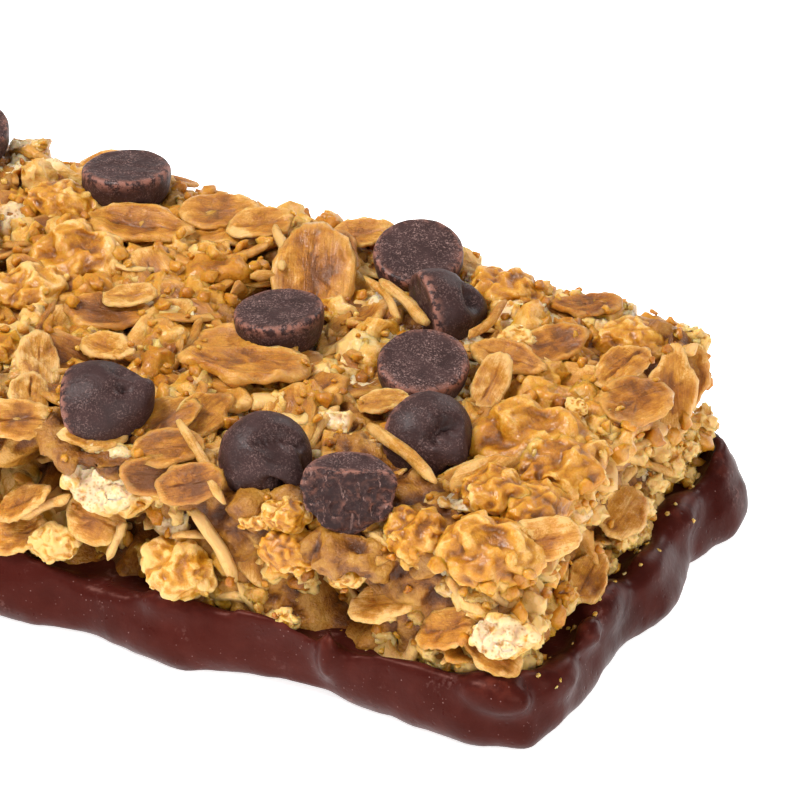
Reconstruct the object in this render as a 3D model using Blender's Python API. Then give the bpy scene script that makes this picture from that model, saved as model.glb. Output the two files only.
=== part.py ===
"""A granola bar: a pressed block of oats and crisps on a dipped chocolate base, with chocolate chips on top.

The bar lies along X with its long cut face towards -Y, and it rests on the flat underside of the
chocolate at z = 0. The origin is the middle of the bar's footprint.
"""

import math

import bmesh
import bpy
from mathutils import Matrix, Vector, noise

MM = 0.001

# Driving dimensions of the bar.
GRANOLA_LENGTH = 87.5 * MM
GRANOLA_WIDTH = 32.5 * MM
GRANOLA_TOP = 14.6 * MM
PLAN_RADIUS = 3.2 * MM
TOP_RADIUS = 2.2 * MM
FOOT_RADIUS = 1.2 * MM
FLOOR_THICKNESS = 1.8 * MM
GAP = 0.3 * MM

# The chocolate that runs up round the granola.
FOOT_WIDTH = 1.4 * MM
FOOT_UNDERCUT = 1.2 * MM
FOOT_TUCK = 0.45 * MM
FOOT_TUCK_HEIGHT = 0.4 * MM
FOOT_BULGE_HEIGHT = 1.5 * MM
WALL_TOP_WIDTH = 0.75 * MM
RIM_HEIGHT = 4.8 * MM
# Up the wall from the bulge to the rim: how far up, and how far the foot has tapered by there.
WALL_PROFILE = ((0.35, 0.25), (0.7, 0.7), (1.0, 1.0))

# The pressed oats: how large the lumps and the crumbs are, and how far they stand out.
LUMP_SIZE = 5.2 * MM
LUMP_HEIGHT = 0.8 * MM
CRUMB_SIZE = 2.4 * MM
CRUMB_HEIGHT = 0.4 * MM
CRUMB_OFFSET = (7, 3, 1)
CLEAR_OF_CHOCOLATE = 7.4 * MM
RELIEF_FADE = 2.0 * MM

# One chocolate chip, a drop with a flat base, and the hollow it has pressed in the granola.
CHIP_RADIUS = 3.0 * MM
POCKET_EXTRA_RADIUS = 0.5 * MM
POCKET_EXTRA_HEIGHT = 0.8 * MM

# How finely the shapes are faceted.
GRANOLA_CELL = 2.3 * MM
RIM_SEGMENTS = 104
CHIP_SEGMENTS = 14
POCKET_SEGMENTS = 10
MERGE_DISTANCE = 0.01 * MM

# Places where the chocolate's foot swells out or draws in: x, y, reach and swell, in millimetres.
SCALLOPS = (
    (8.0, -16.0, 3.4, 0.7),
    (13.6, -16.0, 2.2, -0.5),
    (19.4, -16.0, 3.4, 0.8),
    (28.8, -16.0, 4.2, -1.5),
    (43.5, -16.0, 2.8, 0.8),
    (44.0, -9.0, 2.4, 0.4),
    (44.0, 1.8, 3.4, 1.4),
    (44.0, 7.4, 1.4, -0.3),
    (44.0, 12.5, 3.2, 1.5),
    (31.0, 16.0, 5.0, -0.7),
    (22.0, 16.0, 3.6, 0.6),
    (5.0, 16.0, 5.5, -0.8),
    (-8.0, 16.0, 4.0, 0.6),
    (-23.0, 16.0, 5.0, -0.9),
    (-35.0, 16.0, 3.5, 0.7),
    (-44.0, 12.0, 2.8, 1.1),
    (-44.0, 4.5, 2.6, -0.3),
    (-44.0, -3.0, 3.0, 1.0),
    (-44.0, -11.5, 2.6, 0.2),
    (-36.0, -16.0, 4.2, 0.6),
    (-25.0, -16.0, 5.0, -1.1),
    (-13.0, -16.0, 3.4, 0.7),
    (-2.0, -16.0, 4.0, -0.6),
)

# Places where the chocolate has crept higher or stayed lower on the granola, in the same terms.
CRESTS = (
    (8.0, -16.0, 3.0, 0.8),
    (14.4, -16.0, 2.4, -1.0),
    (20.0, -16.0, 2.0, 0.6),
    (27.0, -16.0, 4.0, 0.9),
    (31.4, -16.0, 1.8, -1.1),
    (36.0, -16.0, 3.0, 0.4),
    (42.6, -16.0, 2.4, 0.9),
    (44.0, -9.0, 1.8, -1.0),
    (44.0, -3.0, 2.2, -0.8),
    (44.0, 1.0, 1.6, 0.7),
    (44.0, 6.0, 2.0, -0.6),
    (44.0, 15.6, 3.6, 1.8),
    (26.0, 16.0, 5.0, 1.0),
    (12.0, 16.0, 4.0, -1.2),
    (-4.0, 16.0, 5.0, 0.9),
    (-19.0, 16.0, 4.0, -1.3),
    (-33.0, 16.0, 4.0, 1.1),
    (-44.0, 9.0, 3.0, -1.0),
    (-44.0, -2.0, 3.0, 1.1),
    (-44.0, -12.0, 2.6, -0.9),
    (-33.0, -16.0, 4.0, 1.0),
    (-21.0, -16.0, 3.4, -1.5),
    (-9.0, -16.0, 4.4, 1.2),
    (1.6, -16.0, 2.6, -0.9),
)

# Hollows where pieces have come away from the cut faces: x, y, z, reach and depth, in millimetres.
HOLLOWS = (
    (9.6, -16.0, 9.6, 2.4, 1.5),
    (13.2, -16.0, 6.0, 2.2, 1.7),
    (17.4, -16.0, 6.2, 2.2, 1.4),
    (30.6, -16.0, 6.6, 2.4, 1.6),
    (3.0, -16.0, 7.6, 2.4, 1.3),
    (-7.0, -16.0, 9.8, 2.6, 1.4),
    (-18.4, -16.0, 6.8, 2.6, 1.6),
    (-29.0, -16.0, 9.2, 2.4, 1.3),
    (-38.0, -16.0, 7.4, 2.4, 1.5),
    (43.5, 4.6, 8.6, 2.6, 1.3),
    (43.5, 13.4, 11.4, 3.0, 1.1),
    (-43.5, -7.6, 9.4, 2.6, 1.5),
    (-43.5, 8.8, 7.8, 2.4, 1.4),
    (36.4, 16.0, 9.0, 2.8, 1.4),
    (16.0, 16.0, 7.4, 2.6, 1.5),
    (-1.0, 16.0, 10.2, 2.6, 1.3),
    (-14.6, 16.0, 7.2, 2.6, 1.6),
    (-35.0, 16.0, 9.6, 2.8, 1.4),
)

# Chips on the top: x, y, height of the chip's middle, lean of its tip away from straight up,
# the compass heading of the tip, and the chip's own height, in millimetres and degrees.
# A lean of 180 is base up.
CHIPS = (
    (1.4, 12.5, 14.8, 173, -50, 4.2),
    (18.8, 1.2, 14.4, 173, -10, 4.2),
    (14.2, -13.0, 16.0, 68, 11, 5.4),
    (25.7, -13.2, 15.0, 66, -41, 4.0),
    (31.8, -15.3, 14.5, 174, 140, 4.3),
    (23.2, 12.6, 14.5, 163, 116, 3.9),
    (28.1, 8.0, 15.2, 90, 44, 4.5),
    (29.6, 0.1, 14.5, 167, 118, 4.0),
    (34.3, -6.9, 15.1, 76, -29, 4.2),
    (-11.3, 13.3, 14.7, 170, 90, 4.2),
    (-3.8, -7.4, 15.3, 70, 150, 4.8),
    (-7.4, 3.2, 14.5, 176, 10, 4.2),
    (-15.6, -11.2, 15.0, 52, -80, 4.0),
    (-19.4, 7.6, 15.3, 98, 65, 4.6),
    (-24.2, -1.8, 14.6, 169, -60, 4.2),
    (-29.6, -10.0, 14.5, 161, 200, 4.1),
    (-32.4, 4.6, 15.4, 66, 20, 5.0),
    (-27.6, 12.2, 14.8, 48, 100, 4.0),
    (-38.4, -3.4, 14.5, 174, 0, 4.2),
)
BROKEN_CHIP = 4
BREAK_DEPTH = 0.3 * MM
BREAK_NORMAL = (0.40, -0.88, 0.26)

# Half outlines of a chip and of its pocket: share of the radius out, share of the height up.
CHIP_OUTLINE = (
    (0.0, 0.0),
    (0.92, 0.0),
    (1.0, 0.09),
    (0.99, 0.28),
    (0.86, 0.52),
    (0.56, 0.74),
    (0.24, 0.93),
    (0.0, 1.0),
)
POCKET_OUTLINE = (
    (0.0, 0.0),
    (1.0, 0.0),
    (1.06, 0.30),
    (0.94, 0.56),
    (0.52, 0.86),
    (0.0, 1.0),
)

CHOCOLATE_BROWN = (0.105, 0.030, 0.022, 1.0)
CHIP_BROWN = (0.075, 0.042, 0.036, 1.0)
TOASTED_OAT = (0.52, 0.27, 0.075, 1.0)


def clear_scene():
    """Empties the scene that the script starts in."""
    for existing in list(bpy.data.objects):
        bpy.data.objects.remove(existing)


def food_material(name, color, roughness):
    """A plain finish in the food's own colour."""
    material = bpy.data.materials.new(name)
    material.use_nodes = True
    shader = material.node_tree.nodes["Principled BSDF"]
    shader.inputs["Base Color"].default_value = color
    shader.inputs["Roughness"].default_value = roughness
    shader.inputs["Metallic"].default_value = 0.0
    material.diffuse_color = color
    return material


def object_from(bm, name, material):
    """Turns a finished bmesh into a named object in the scene."""
    bmesh.ops.recalc_face_normals(bm, faces=bm.faces)
    mesh = bpy.data.meshes.new(name)
    bm.to_mesh(mesh)
    bm.free()
    mesh.materials.append(material)
    made = bpy.data.objects.new(name, mesh)
    bpy.context.scene.collection.objects.link(made)
    return made


def local_swell(x, y, spots):
    """The sum of the soft bumps in spots, at a place on the bar's plan."""
    total = 0.0
    for spot_x, spot_y, reach, swell in spots:
        distance = math.hypot(x / MM - spot_x, y / MM - spot_y)
        total += swell * math.exp(-((distance / reach) ** 2))
    return total * MM


def plan_outline(half_length, half_width, radius, count):
    """Points and outward normals at equal steps round a rounded rectangle."""
    straight_x, straight_y = half_length - radius, half_width - radius
    quarter = math.pi * radius / 2
    runs = (2 * straight_y, quarter, 2 * straight_x, quarter) * 2
    starts = (
        (Vector((half_length, -straight_y)), 0.0),
        (Vector((straight_x, straight_y)), 0.0),
        (Vector((straight_x, half_width)), 90.0),
        (Vector((-straight_x, straight_y)), 90.0),
        (Vector((-half_length, straight_y)), 180.0),
        (Vector((-straight_x, -straight_y)), 180.0),
        (Vector((-straight_x, -half_width)), 270.0),
        (Vector((straight_x, -straight_y)), 270.0),
    )
    step = sum(runs) / count
    points = []
    for index in range(count):
        along = index * step
        run = 0
        while along > runs[run]:
            along -= runs[run]
            run += 1
        start, facing = starts[run]
        if run % 2 == 0:
            angle = math.radians(facing)
            normal = Vector((math.cos(angle), math.sin(angle)))
            place = start + Vector((-normal.y, normal.x)) * along
        else:
            angle = math.radians(facing) + along / radius
            normal = Vector((math.cos(angle), math.sin(angle)))
            place = start + normal * radius
        points.append((place, normal))
    return points


def chocolate_ring(bm, outline, height, width):
    """One closed ring of vertices at a height, width being how far it stands out from the granola."""
    ring = []
    for place, normal in outline:
        at = place + normal * width(place)
        ring.append(bm.verts.new((at.x, at.y, height(place))))
    return ring


def rim_height(place):
    """The height of the chocolate's upper edge at a place on the outline."""
    return RIM_HEIGHT + local_swell(place.x, place.y, CRESTS)


def foot_width(place):
    """How far the foot stands out from the granola at a place on the outline."""
    return FOOT_WIDTH + local_swell(place.x, place.y, SCALLOPS)


def chocolate_base(material):
    """The dipped chocolate: a floor under the granola, a swollen foot, and a thin wall up its sides."""
    outline = plan_outline(GRANOLA_LENGTH / 2, GRANOLA_WIDTH / 2, PLAN_RADIUS, RIM_SEGMENTS)
    bm = bmesh.new()

    def flat(height):
        return lambda place: height

    def tucked(inset):
        return lambda place: foot_width(place) - inset

    def up_the_wall(share):
        return lambda place: FOOT_BULGE_HEIGHT + share * (rim_height(place) - FOOT_BULGE_HEIGHT)

    def tapered(share):
        return lambda place: foot_width(place) + share * (WALL_TOP_WIDTH - foot_width(place))

    rings = [
        chocolate_ring(bm, outline, flat(0.0), tucked(FOOT_UNDERCUT)),
        chocolate_ring(bm, outline, flat(FOOT_TUCK_HEIGHT), tucked(FOOT_TUCK)),
        chocolate_ring(bm, outline, flat(FOOT_BULGE_HEIGHT), foot_width),
    ]
    for up, taper in WALL_PROFILE:
        rings.append(chocolate_ring(bm, outline, up_the_wall(up), tapered(taper)))
    rings.append(chocolate_ring(bm, outline, rim_height, flat(0.0)))
    rings.append(chocolate_ring(bm, outline, flat(FLOOR_THICKNESS), flat(0.0)))
    for lower, upper in zip(rings, rings[1:]):
        for index in range(len(outline)):
            after = (index + 1) % len(outline)
            bm.faces.new((lower[index], lower[after], upper[after], upper[index]))
    bm.faces.new(list(reversed(rings[0])))
    bm.faces.new(rings[-1])
    return object_from(bm, "chocolate_base", material)


def clamp(value, limit):
    """Keeps a value between minus limit and limit."""
    return max(-limit, min(limit, value))


def round_over(out, rise, radius):
    """Rounds a square edge: both shares run from 0 where the rounding starts to 1 on the faces."""
    if out <= 0 or rise <= 0:
        return out, rise
    shrink = max(out, rise) / math.hypot(out, rise)
    return out * shrink, rise * shrink


def rounded_slab_point(point, half_length, half_width, bottom, top):
    """Moves a point of a plain box onto the same box with round corners and round edges."""
    inner = Vector(
        (
            clamp(point.x, half_length - PLAN_RADIUS),
            clamp(point.y, half_width - PLAN_RADIUS),
        )
    )
    out = point.xy - inner
    if out.length == 0:
        return point.copy()
    out *= max(abs(out.x), abs(out.y)) / out.length
    upper = point.z > (bottom + top) / 2
    radius = TOP_RADIUS if upper else FOOT_RADIUS
    face = top if upper else bottom
    facing = 1 if upper else -1
    out_share = (out.length - PLAN_RADIUS + radius) / radius
    rise_share = 1 - abs(face - point.z) / radius
    new_out, new_rise = round_over(out_share, rise_share, radius)
    plan = inner + out.normalized() * (out.length + (new_out - out_share) * radius)
    return Vector((plan.x, plan.y, point.z + facing * (new_rise - rise_share) * radius))


def granola_relief(point):
    """How far the pressed oats stand out from the smooth block at a place."""
    lumps = LUMP_HEIGHT * noise.noise(point / LUMP_SIZE)
    crumbs = CRUMB_HEIGHT * noise.noise(point / CRUMB_SIZE + Vector(CRUMB_OFFSET))
    relief = lumps + crumbs
    for x, y, z, reach, depth in HOLLOWS:
        distance = (point / MM - Vector((x, y, z))).length
        relief -= depth * MM * math.exp(-((distance / reach) ** 2))
    fade = max(0.0, min(1.0, (point.z - CLEAR_OF_CHOCOLATE) / RELIEF_FADE))
    return relief * fade if relief > 0 else relief * settle(point)


def settle(point):
    """Keeps the granola's underside flat: 0 at the underside, 1 from a little way up."""
    return max(0.0, min(1.0, (point.z - FLOOR_THICKNESS - FOOT_RADIUS) / RELIEF_FADE))


def granola_block(material):
    """The pressed oats and crisps: one block out to its uneven outline."""
    half_length, half_width = GRANOLA_LENGTH / 2 - GAP, GRANOLA_WIDTH / 2 - GAP
    bottom, top = FLOOR_THICKNESS + GAP, GRANOLA_TOP
    sides = Vector((2 * half_length, 2 * half_width, top - bottom))
    middle = Vector((0, 0, (bottom + top) / 2))
    bm = bmesh.new()
    bmesh.ops.create_cube(bm, size=1.0)
    for axis in range(3):
        cuts = round(sides[axis] / GRANOLA_CELL) - 1
        edges = [edge for edge in bm.edges if abs((edge.verts[0].co - edge.verts[1].co)[axis]) > 0.5]
        bmesh.ops.subdivide_edges(bm, edges=edges, cuts=cuts, use_grid_fill=True)
    for vert in bm.verts:
        plain = middle + vert.co * sides
        vert.co = rounded_slab_point(plain, half_length, half_width, bottom, top)
    bm.normal_update()
    moves = [(vert, vert.normal * granola_relief(vert.co)) for vert in bm.verts]
    for vert, move in moves:
        vert.co += move
    return object_from(bm, "granola_block", material)


def drop_mesh(bm, radius, height, segments, outline):
    """A drop turned about Z, its flat base down, centred on its middle height."""
    points = [Vector((radius * across, 0, height * (up - 0.5))) for across, up in outline]
    chain = [bm.verts.new(point) for point in points]
    edges = [bm.edges.new(pair) for pair in zip(chain, chain[1:])]
    bmesh.ops.spin(
        bm,
        geom=chain + edges,
        cent=(0, 0, 0),
        axis=(0, 0, 1),
        angle=2 * math.pi,
        steps=segments,
        use_merge=True,
    )
    bmesh.ops.remove_doubles(bm, verts=bm.verts, dist=MERGE_DISTANCE)
    bmesh.ops.recalc_face_normals(bm, faces=bm.faces)


def chip_pose(x, y, z, lean, heading):
    """The matrix that puts a drop on the bar with its tip leaning towards a heading."""
    lean_turn = Matrix.Rotation(math.radians(lean), 4, "Y")
    heading_turn = Matrix.Rotation(math.radians(heading), 4, "Z")
    return Matrix.Translation(Vector((x, y, z)) * MM) @ heading_turn @ lean_turn


def break_off(bm, pose):
    """Snaps one side off a drop, leaving a flat fracture."""
    normal = (pose.to_3x3().inverted() @ Vector(BREAK_NORMAL)).normalized()
    bmesh.ops.bisect_plane(
        bm,
        geom=list(bm.verts) + list(bm.edges) + list(bm.faces),
        plane_co=normal * BREAK_DEPTH,
        plane_no=normal,
        clear_outer=True,
    )
    open_edges = [edge for edge in bm.edges if edge.is_boundary]
    bmesh.ops.contextual_create(bm, geom=open_edges)


def chocolate_chip(index, pose, height, material):
    """One chip, lying where its pose puts it."""
    bm = bmesh.new()
    drop_mesh(bm, CHIP_RADIUS, height, CHIP_SEGMENTS, CHIP_OUTLINE)
    if index == BROKEN_CHIP:
        break_off(bm, pose)
    chip = object_from(bm, f"chip_{index + 1:02d}", material)
    chip.matrix_world = pose
    return chip


def press_pocket(block, index, pose, height):
    """Cuts the hollow that a chip has pressed into the granola, a little wider than the chip."""
    bm = bmesh.new()
    radius = CHIP_RADIUS + POCKET_EXTRA_RADIUS
    drop_mesh(bm, radius, height + POCKET_EXTRA_HEIGHT, POCKET_SEGMENTS, POCKET_OUTLINE)
    cutter = object_from(bm, f"pocket_{index + 1:02d}", block.data.materials[0])
    cutter.matrix_world = pose
    cutter.hide_render = True
    cutter.display_type = "WIRE"
    cut = block.modifiers.new(f"pocket_{index + 1:02d}", "BOOLEAN")
    cut.operation = "DIFFERENCE"
    cut.solver = "EXACT"
    cut.object = cutter


def centre_over_origin(base):
    """Slides the whole bar so that the middle of its footprint is the origin."""
    xs = [vert.co.x for vert in base.data.vertices]
    ys = [vert.co.y for vert in base.data.vertices]
    shift = Vector((-(min(xs) + max(xs)) / 2, -(min(ys) + max(ys)) / 2, 0))
    for part in bpy.data.objects:
        part.matrix_world = Matrix.Translation(shift) @ part.matrix_world


def main():
    clear_scene()
    chocolate = food_material("dark_chocolate", CHOCOLATE_BROWN, 0.42)
    chip_chocolate = food_material("chip_chocolate", CHIP_BROWN, 0.6)
    oats = food_material("toasted_oats", TOASTED_OAT, 0.7)
    base = chocolate_base(chocolate)
    block = granola_block(oats)
    for index, (x, y, z, lean, heading, height) in enumerate(CHIPS):
        pose = chip_pose(x, y, z, lean, heading)
        chocolate_chip(index, pose, height * MM, chip_chocolate)
        press_pocket(block, index, pose, height * MM)
    centre_over_origin(base)


main()
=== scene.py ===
"""A granola bar: pressed oats, crisps, bran and crumbs on a dipped chocolate base, with chocolate chips.

The bar lies along X on the flat underside of its chocolate, with its long cut face towards -Y.
Lengths are in metres, and the tables give millimetres and degrees.
"""

import itertools
import math
import random

import bmesh
import bpy
import numpy as np
from mathutils import Matrix, Vector
from mathutils.bvhtree import BVHTree


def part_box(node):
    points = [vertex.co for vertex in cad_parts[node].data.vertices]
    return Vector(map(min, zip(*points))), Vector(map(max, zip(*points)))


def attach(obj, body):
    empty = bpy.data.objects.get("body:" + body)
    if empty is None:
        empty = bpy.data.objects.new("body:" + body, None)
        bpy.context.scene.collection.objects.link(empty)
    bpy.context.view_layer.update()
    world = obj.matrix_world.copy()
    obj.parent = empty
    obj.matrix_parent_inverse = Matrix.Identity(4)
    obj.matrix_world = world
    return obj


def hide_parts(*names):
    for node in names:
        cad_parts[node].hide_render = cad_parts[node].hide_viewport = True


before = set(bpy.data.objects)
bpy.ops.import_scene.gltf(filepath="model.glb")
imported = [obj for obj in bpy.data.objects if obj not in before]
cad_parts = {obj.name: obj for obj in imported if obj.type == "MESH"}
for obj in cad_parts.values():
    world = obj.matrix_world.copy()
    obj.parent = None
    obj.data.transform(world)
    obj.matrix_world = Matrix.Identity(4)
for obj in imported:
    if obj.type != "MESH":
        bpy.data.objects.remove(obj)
bpy.ops.object.select_all(action="DESELECT")
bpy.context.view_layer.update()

MM = 0.001
# Vertices of the CAD copies that are nearer than this are one.
WELD = 0.005 * MM

# Each chip as it lies on the bar: the lean of its tip from straight up, the tip's compass heading,
# and the chip's height. A lean of 180 is base up.
CHIP_LAY = {
    "chip_01": (173, -50, 4.2),
    "chip_02": (173, -10, 4.2),
    "chip_03": (68, 11, 5.4),
    "chip_04": (66, -41, 4.0),
    "chip_05": (174, 140, 4.3),
    "chip_06": (163, 116, 3.9),
    "chip_07": (90, 44, 4.5),
    "chip_08": (167, 118, 4.0),
    "chip_09": (76, -29, 4.2),
    "chip_10": (170, 90, 4.2),
    "chip_11": (70, 150, 4.8),
    "chip_12": (176, 10, 4.2),
    "chip_13": (52, -80, 4.0),
    "chip_14": (98, 65, 4.6),
    "chip_15": (169, -60, 4.2),
    "chip_16": (161, 200, 4.1),
    "chip_17": (66, 20, 5.0),
    "chip_18": (48, 100, 4.0),
    "chip_19": (174, 0, 4.2),
}
CHIP_RADIUS = 3.0 * MM
BROKEN_CHIP = "chip_05"
BREAK_DEPTH = 0.3 * MM
BREAK_NORMAL = (0.40, -0.88, 0.26)


# ---------------------------------------------------------------- bench tools


def held(value, low, high):
    """A number kept between two others."""
    return min(max(value, low), high)


def toned(dice, middle, spread, palest, darkest):
    """A toasting tone: 0 is pale cream and 1 is dark brown."""
    return held(dice.gauss(middle, spread), palest, darkest)


def pick(piece):
    """Makes one object the only selected one, and the active one."""
    bpy.ops.object.select_all(action="DESELECT")
    piece.select_set(True)
    bpy.context.view_layer.objects.active = piece


def work(piece, kind, **settings):
    """Puts a modifier on a piece and applies it."""
    pick(piece)
    made = piece.modifiers.new(kind.title(), kind)
    for name, value in settings.items():
        setattr(made, name, value)
    bpy.ops.object.modifier_apply(modifier=made.name)


def settle():
    """Writes the active piece's place, turn and size into its mesh."""
    bpy.ops.object.transform_apply(location=True, rotation=True, scale=True)


def open_up(piece):
    """Enters edit mode with all of a piece chosen."""
    pick(piece)
    bpy.ops.object.mode_set(mode="EDIT")
    bpy.ops.mesh.select_all(action="SELECT")


def close_up():
    """Leaves edit mode."""
    bpy.ops.object.mode_set(mode="OBJECT")


def mark(piece, wanted):
    """Enters edit mode with only the vertices chosen for which wanted(place) is true."""
    if piece.mode != "EDIT":
        pick(piece)
        bpy.ops.object.mode_set(mode="EDIT")
    bpy.ops.mesh.select_mode(type="VERT")
    bm = bmesh.from_edit_mesh(piece.data)
    for vert in bm.verts:
        vert.select_set(bool(wanted(vert.co)))
    bm.select_flush_mode()
    bmesh.update_edit_mesh(piece.data)


def choose(piece, kind, wanted):
    """Chooses just the edges or the faces for which wanted is true, in edit mode."""
    bpy.ops.mesh.select_mode(type=kind)
    bm = bmesh.from_edit_mesh(piece.data)
    for part in bm.edges if kind == "EDGE" else bm.faces:
        part.select_set(wanted(part))
    bmesh.update_edit_mesh(piece.data)


def cut_off(piece, place, normal):
    """Cuts a piece at a plane, drops what lies beyond it, and closes the cut."""
    open_up(piece)
    bpy.ops.mesh.bisect(
        plane_co=place, plane_no=normal, use_fill=True, clear_outer=True, clear_inner=False
    )
    close_up()


def nudge(piece, wanted, move, reach):
    """Moves the wanted vertices, and softly those within reach of them."""
    mark(piece, wanted)
    bpy.ops.transform.translate(
        value=move,
        use_proportional_edit=True,
        proportional_edit_falloff="SMOOTH",
        proportional_size=reach,
    )
    close_up()


def relief(name, kind, size, **settings):
    """A lumpy pattern of one feature size, for roughening shapes."""
    pattern = bpy.data.textures.new(name, kind)
    pattern.noise_scale = size
    for setting, value in settings.items():
        setattr(pattern, setting, value)
    return pattern


def roughen(piece, pattern, strength, direction="NORMAL", spread="GLOBAL", **settings):
    """Pushes a piece's surface in and out by a pattern."""
    work(
        piece, "DISPLACE", texture=pattern, strength=strength, mid_level=0.5,
        direction=direction, texture_coords=spread, **settings,
    )


SWELL = relief("swell", "CLOUDS", 4.0 * MM, noise_depth=1)
LUMPS = relief("lumps", "CLOUDS", 2.2 * MM, noise_depth=2)
KNOBS = relief("knobs", "CLOUDS", 1.0 * MM, noise_depth=2)
GRAIN = relief("grain", "CLOUDS", 0.5 * MM, noise_depth=1)
WANDER = relief("wander", "CLOUDS", 3.2 * MM, noise_depth=1, cloud_type="COLOR")
RAGGED = relief("ragged", "CLOUDS", 1.3 * MM, noise_depth=2, cloud_type="COLOR")
NIBBLED = relief("nibbled", "CLOUDS", 0.55 * MM, noise_depth=2, cloud_type="COLOR")
PORES = relief("pores", "VORONOI", 1.0 * MM)
BUBBLES = relief("bubbles", "VORONOI", 1.7 * MM)


def places(mesh):
    """Where a mesh's vertices are, one row each."""
    points = np.empty((len(mesh.vertices), 3))
    mesh.vertices.foreach_get("co", points.ravel())
    return points


def note(mesh, name, values):
    """Keeps one number for each vertex, for a finish to read."""
    mesh.attributes.new(name, "FLOAT", "POINT").data.foreach_set("value", values)


def join(piece, others):
    """Joins other pieces into one."""
    pick(piece)
    for other in others:
        other.select_set(True)
    bpy.ops.object.join()


def stand_for(piece, node, finish):
    """Puts a finished piece in the place of its CAD node."""
    piece.data.shade_smooth()
    piece.data.materials.clear()
    piece.data.materials.append(finish)
    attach(piece, "root")
    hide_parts(node)
    return piece


def merged_copy(node, name):
    """A copy of a CAD node with its loose triangles joined up."""
    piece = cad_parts[node].copy()
    piece.data = piece.data.copy()
    piece.name = name
    piece.data.name = name
    piece.parent = None
    piece.matrix_world = Matrix.Identity(4)
    for key in list(piece.keys()):
        del piece[key]
    bpy.context.scene.collection.objects.link(piece)
    piece.hide_render = False
    open_up(piece)
    bpy.ops.mesh.remove_doubles(threshold=WELD)
    bpy.ops.mesh.normals_make_consistent(inside=False)
    close_up()
    return piece


# ---------------------------------------------------------------- finishes


class Finish:
    """A procedural material, built up node by node."""

    def __init__(self, name):
        self.material = bpy.data.materials.new(name)
        self.material.use_nodes = True
        self.tree = self.material.node_tree
        self.shader = self.tree.nodes["Principled BSDF"]
        self.place = self.add("ShaderNodeTexCoord").outputs["Object"]

    def add(self, kind, inputs=None, **settings):
        made = self.tree.nodes.new(kind)
        for name, value in settings.items():
            setattr(made, name, value)
        for key, value in (inputs or {}).items():
            if isinstance(value, bpy.types.NodeSocket):
                self.tree.links.new(value, made.inputs[key])
            else:
                made.inputs[key].default_value = value
        return made

    def set(self, **sockets):
        """Sets or links the shader's sockets, with _ for a space in their names."""
        for key, value in sockets.items():
            socket = self.shader.inputs[key.replace("_", " ")]
            if isinstance(value, bpy.types.NodeSocket):
                self.tree.links.new(value, socket)
            else:
                socket.default_value = value

    def noise(self, size, detail=3.0, rough=0.55, place=None, warp=0.0):
        inputs = {
            "Vector": place or self.place, "Scale": 1.0 / size, "Detail": detail,
            "Roughness": rough, "Distortion": warp,
        }
        return self.add("ShaderNodeTexNoise", inputs).outputs["Fac"]

    def cells(self, size, feature="F1", place=None):
        inputs = {"Vector": place or self.place, "Scale": 1.0 / size}
        return self.add("ShaderNodeTexVoronoi", inputs, feature=feature).outputs["Distance"]

    def stretched(self, scale, place=None, turn=(0.0, 0.0, 0.0)):
        inputs = {"Vector": place or self.place, "Scale": scale, "Rotation": turn}
        return self.add("ShaderNodeMapping", inputs).outputs["Vector"]

    def attribute(self, name):
        return self.add("ShaderNodeAttribute", attribute_name=name).outputs["Fac"]

    def math(self, operation, a, b, c=None, clamp=False):
        inputs = {0: a, 1: b}
        if c is not None:
            inputs[2] = c
        return self.add("ShaderNodeMath", inputs, operation=operation, use_clamp=clamp).outputs[0]

    def times(self, a, b, clamp=False):
        return self.math("MULTIPLY", a, b, clamp=clamp)

    def vary(self, shade, value, low, high, down, up):
        """Shifts a shade down to up as a value goes from low to high."""
        return self.math("ADD", shade, self.remap(value, low, high, down, up, smooth=False))

    def remap(self, value, low, high, to_low=0.0, to_high=1.0, smooth=True):
        inputs = {"Value": value, "From Min": low, "From Max": high, "To Min": to_low, "To Max": to_high}
        kind = "SMOOTHSTEP" if smooth else "LINEAR"
        return self.add("ShaderNodeMapRange", inputs, interpolation_type=kind).outputs["Result"]

    def ramp(self, value, stops):
        made = self.add("ShaderNodeValToRGB", {"Fac": value})
        elements = made.color_ramp.elements
        while len(elements) < len(stops):
            elements.new(0.5)
        for element, (at, color) in zip(elements, stops):
            element.position = at
            element.color = (*color, 1.0)
        return made.outputs["Color"]

    def mix(self, share, a, b, blend="MIX"):
        inputs = {
            0: share,
            6: a if isinstance(a, bpy.types.NodeSocket) else (*a, 1.0),
            7: b if isinstance(b, bpy.types.NodeSocket) else (*b, 1.0),
        }
        return self.add("ShaderNodeMix", inputs, data_type="RGBA", blend_type=blend).outputs[2]

    def bump(self, height, depth, strength=1.0, over=None):
        inputs = {"Height": height, "Distance": depth, "Strength": strength}
        if over is not None:
            inputs["Normal"] = over
        return self.add("ShaderNodeBump", inputs).outputs["Normal"]


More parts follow.
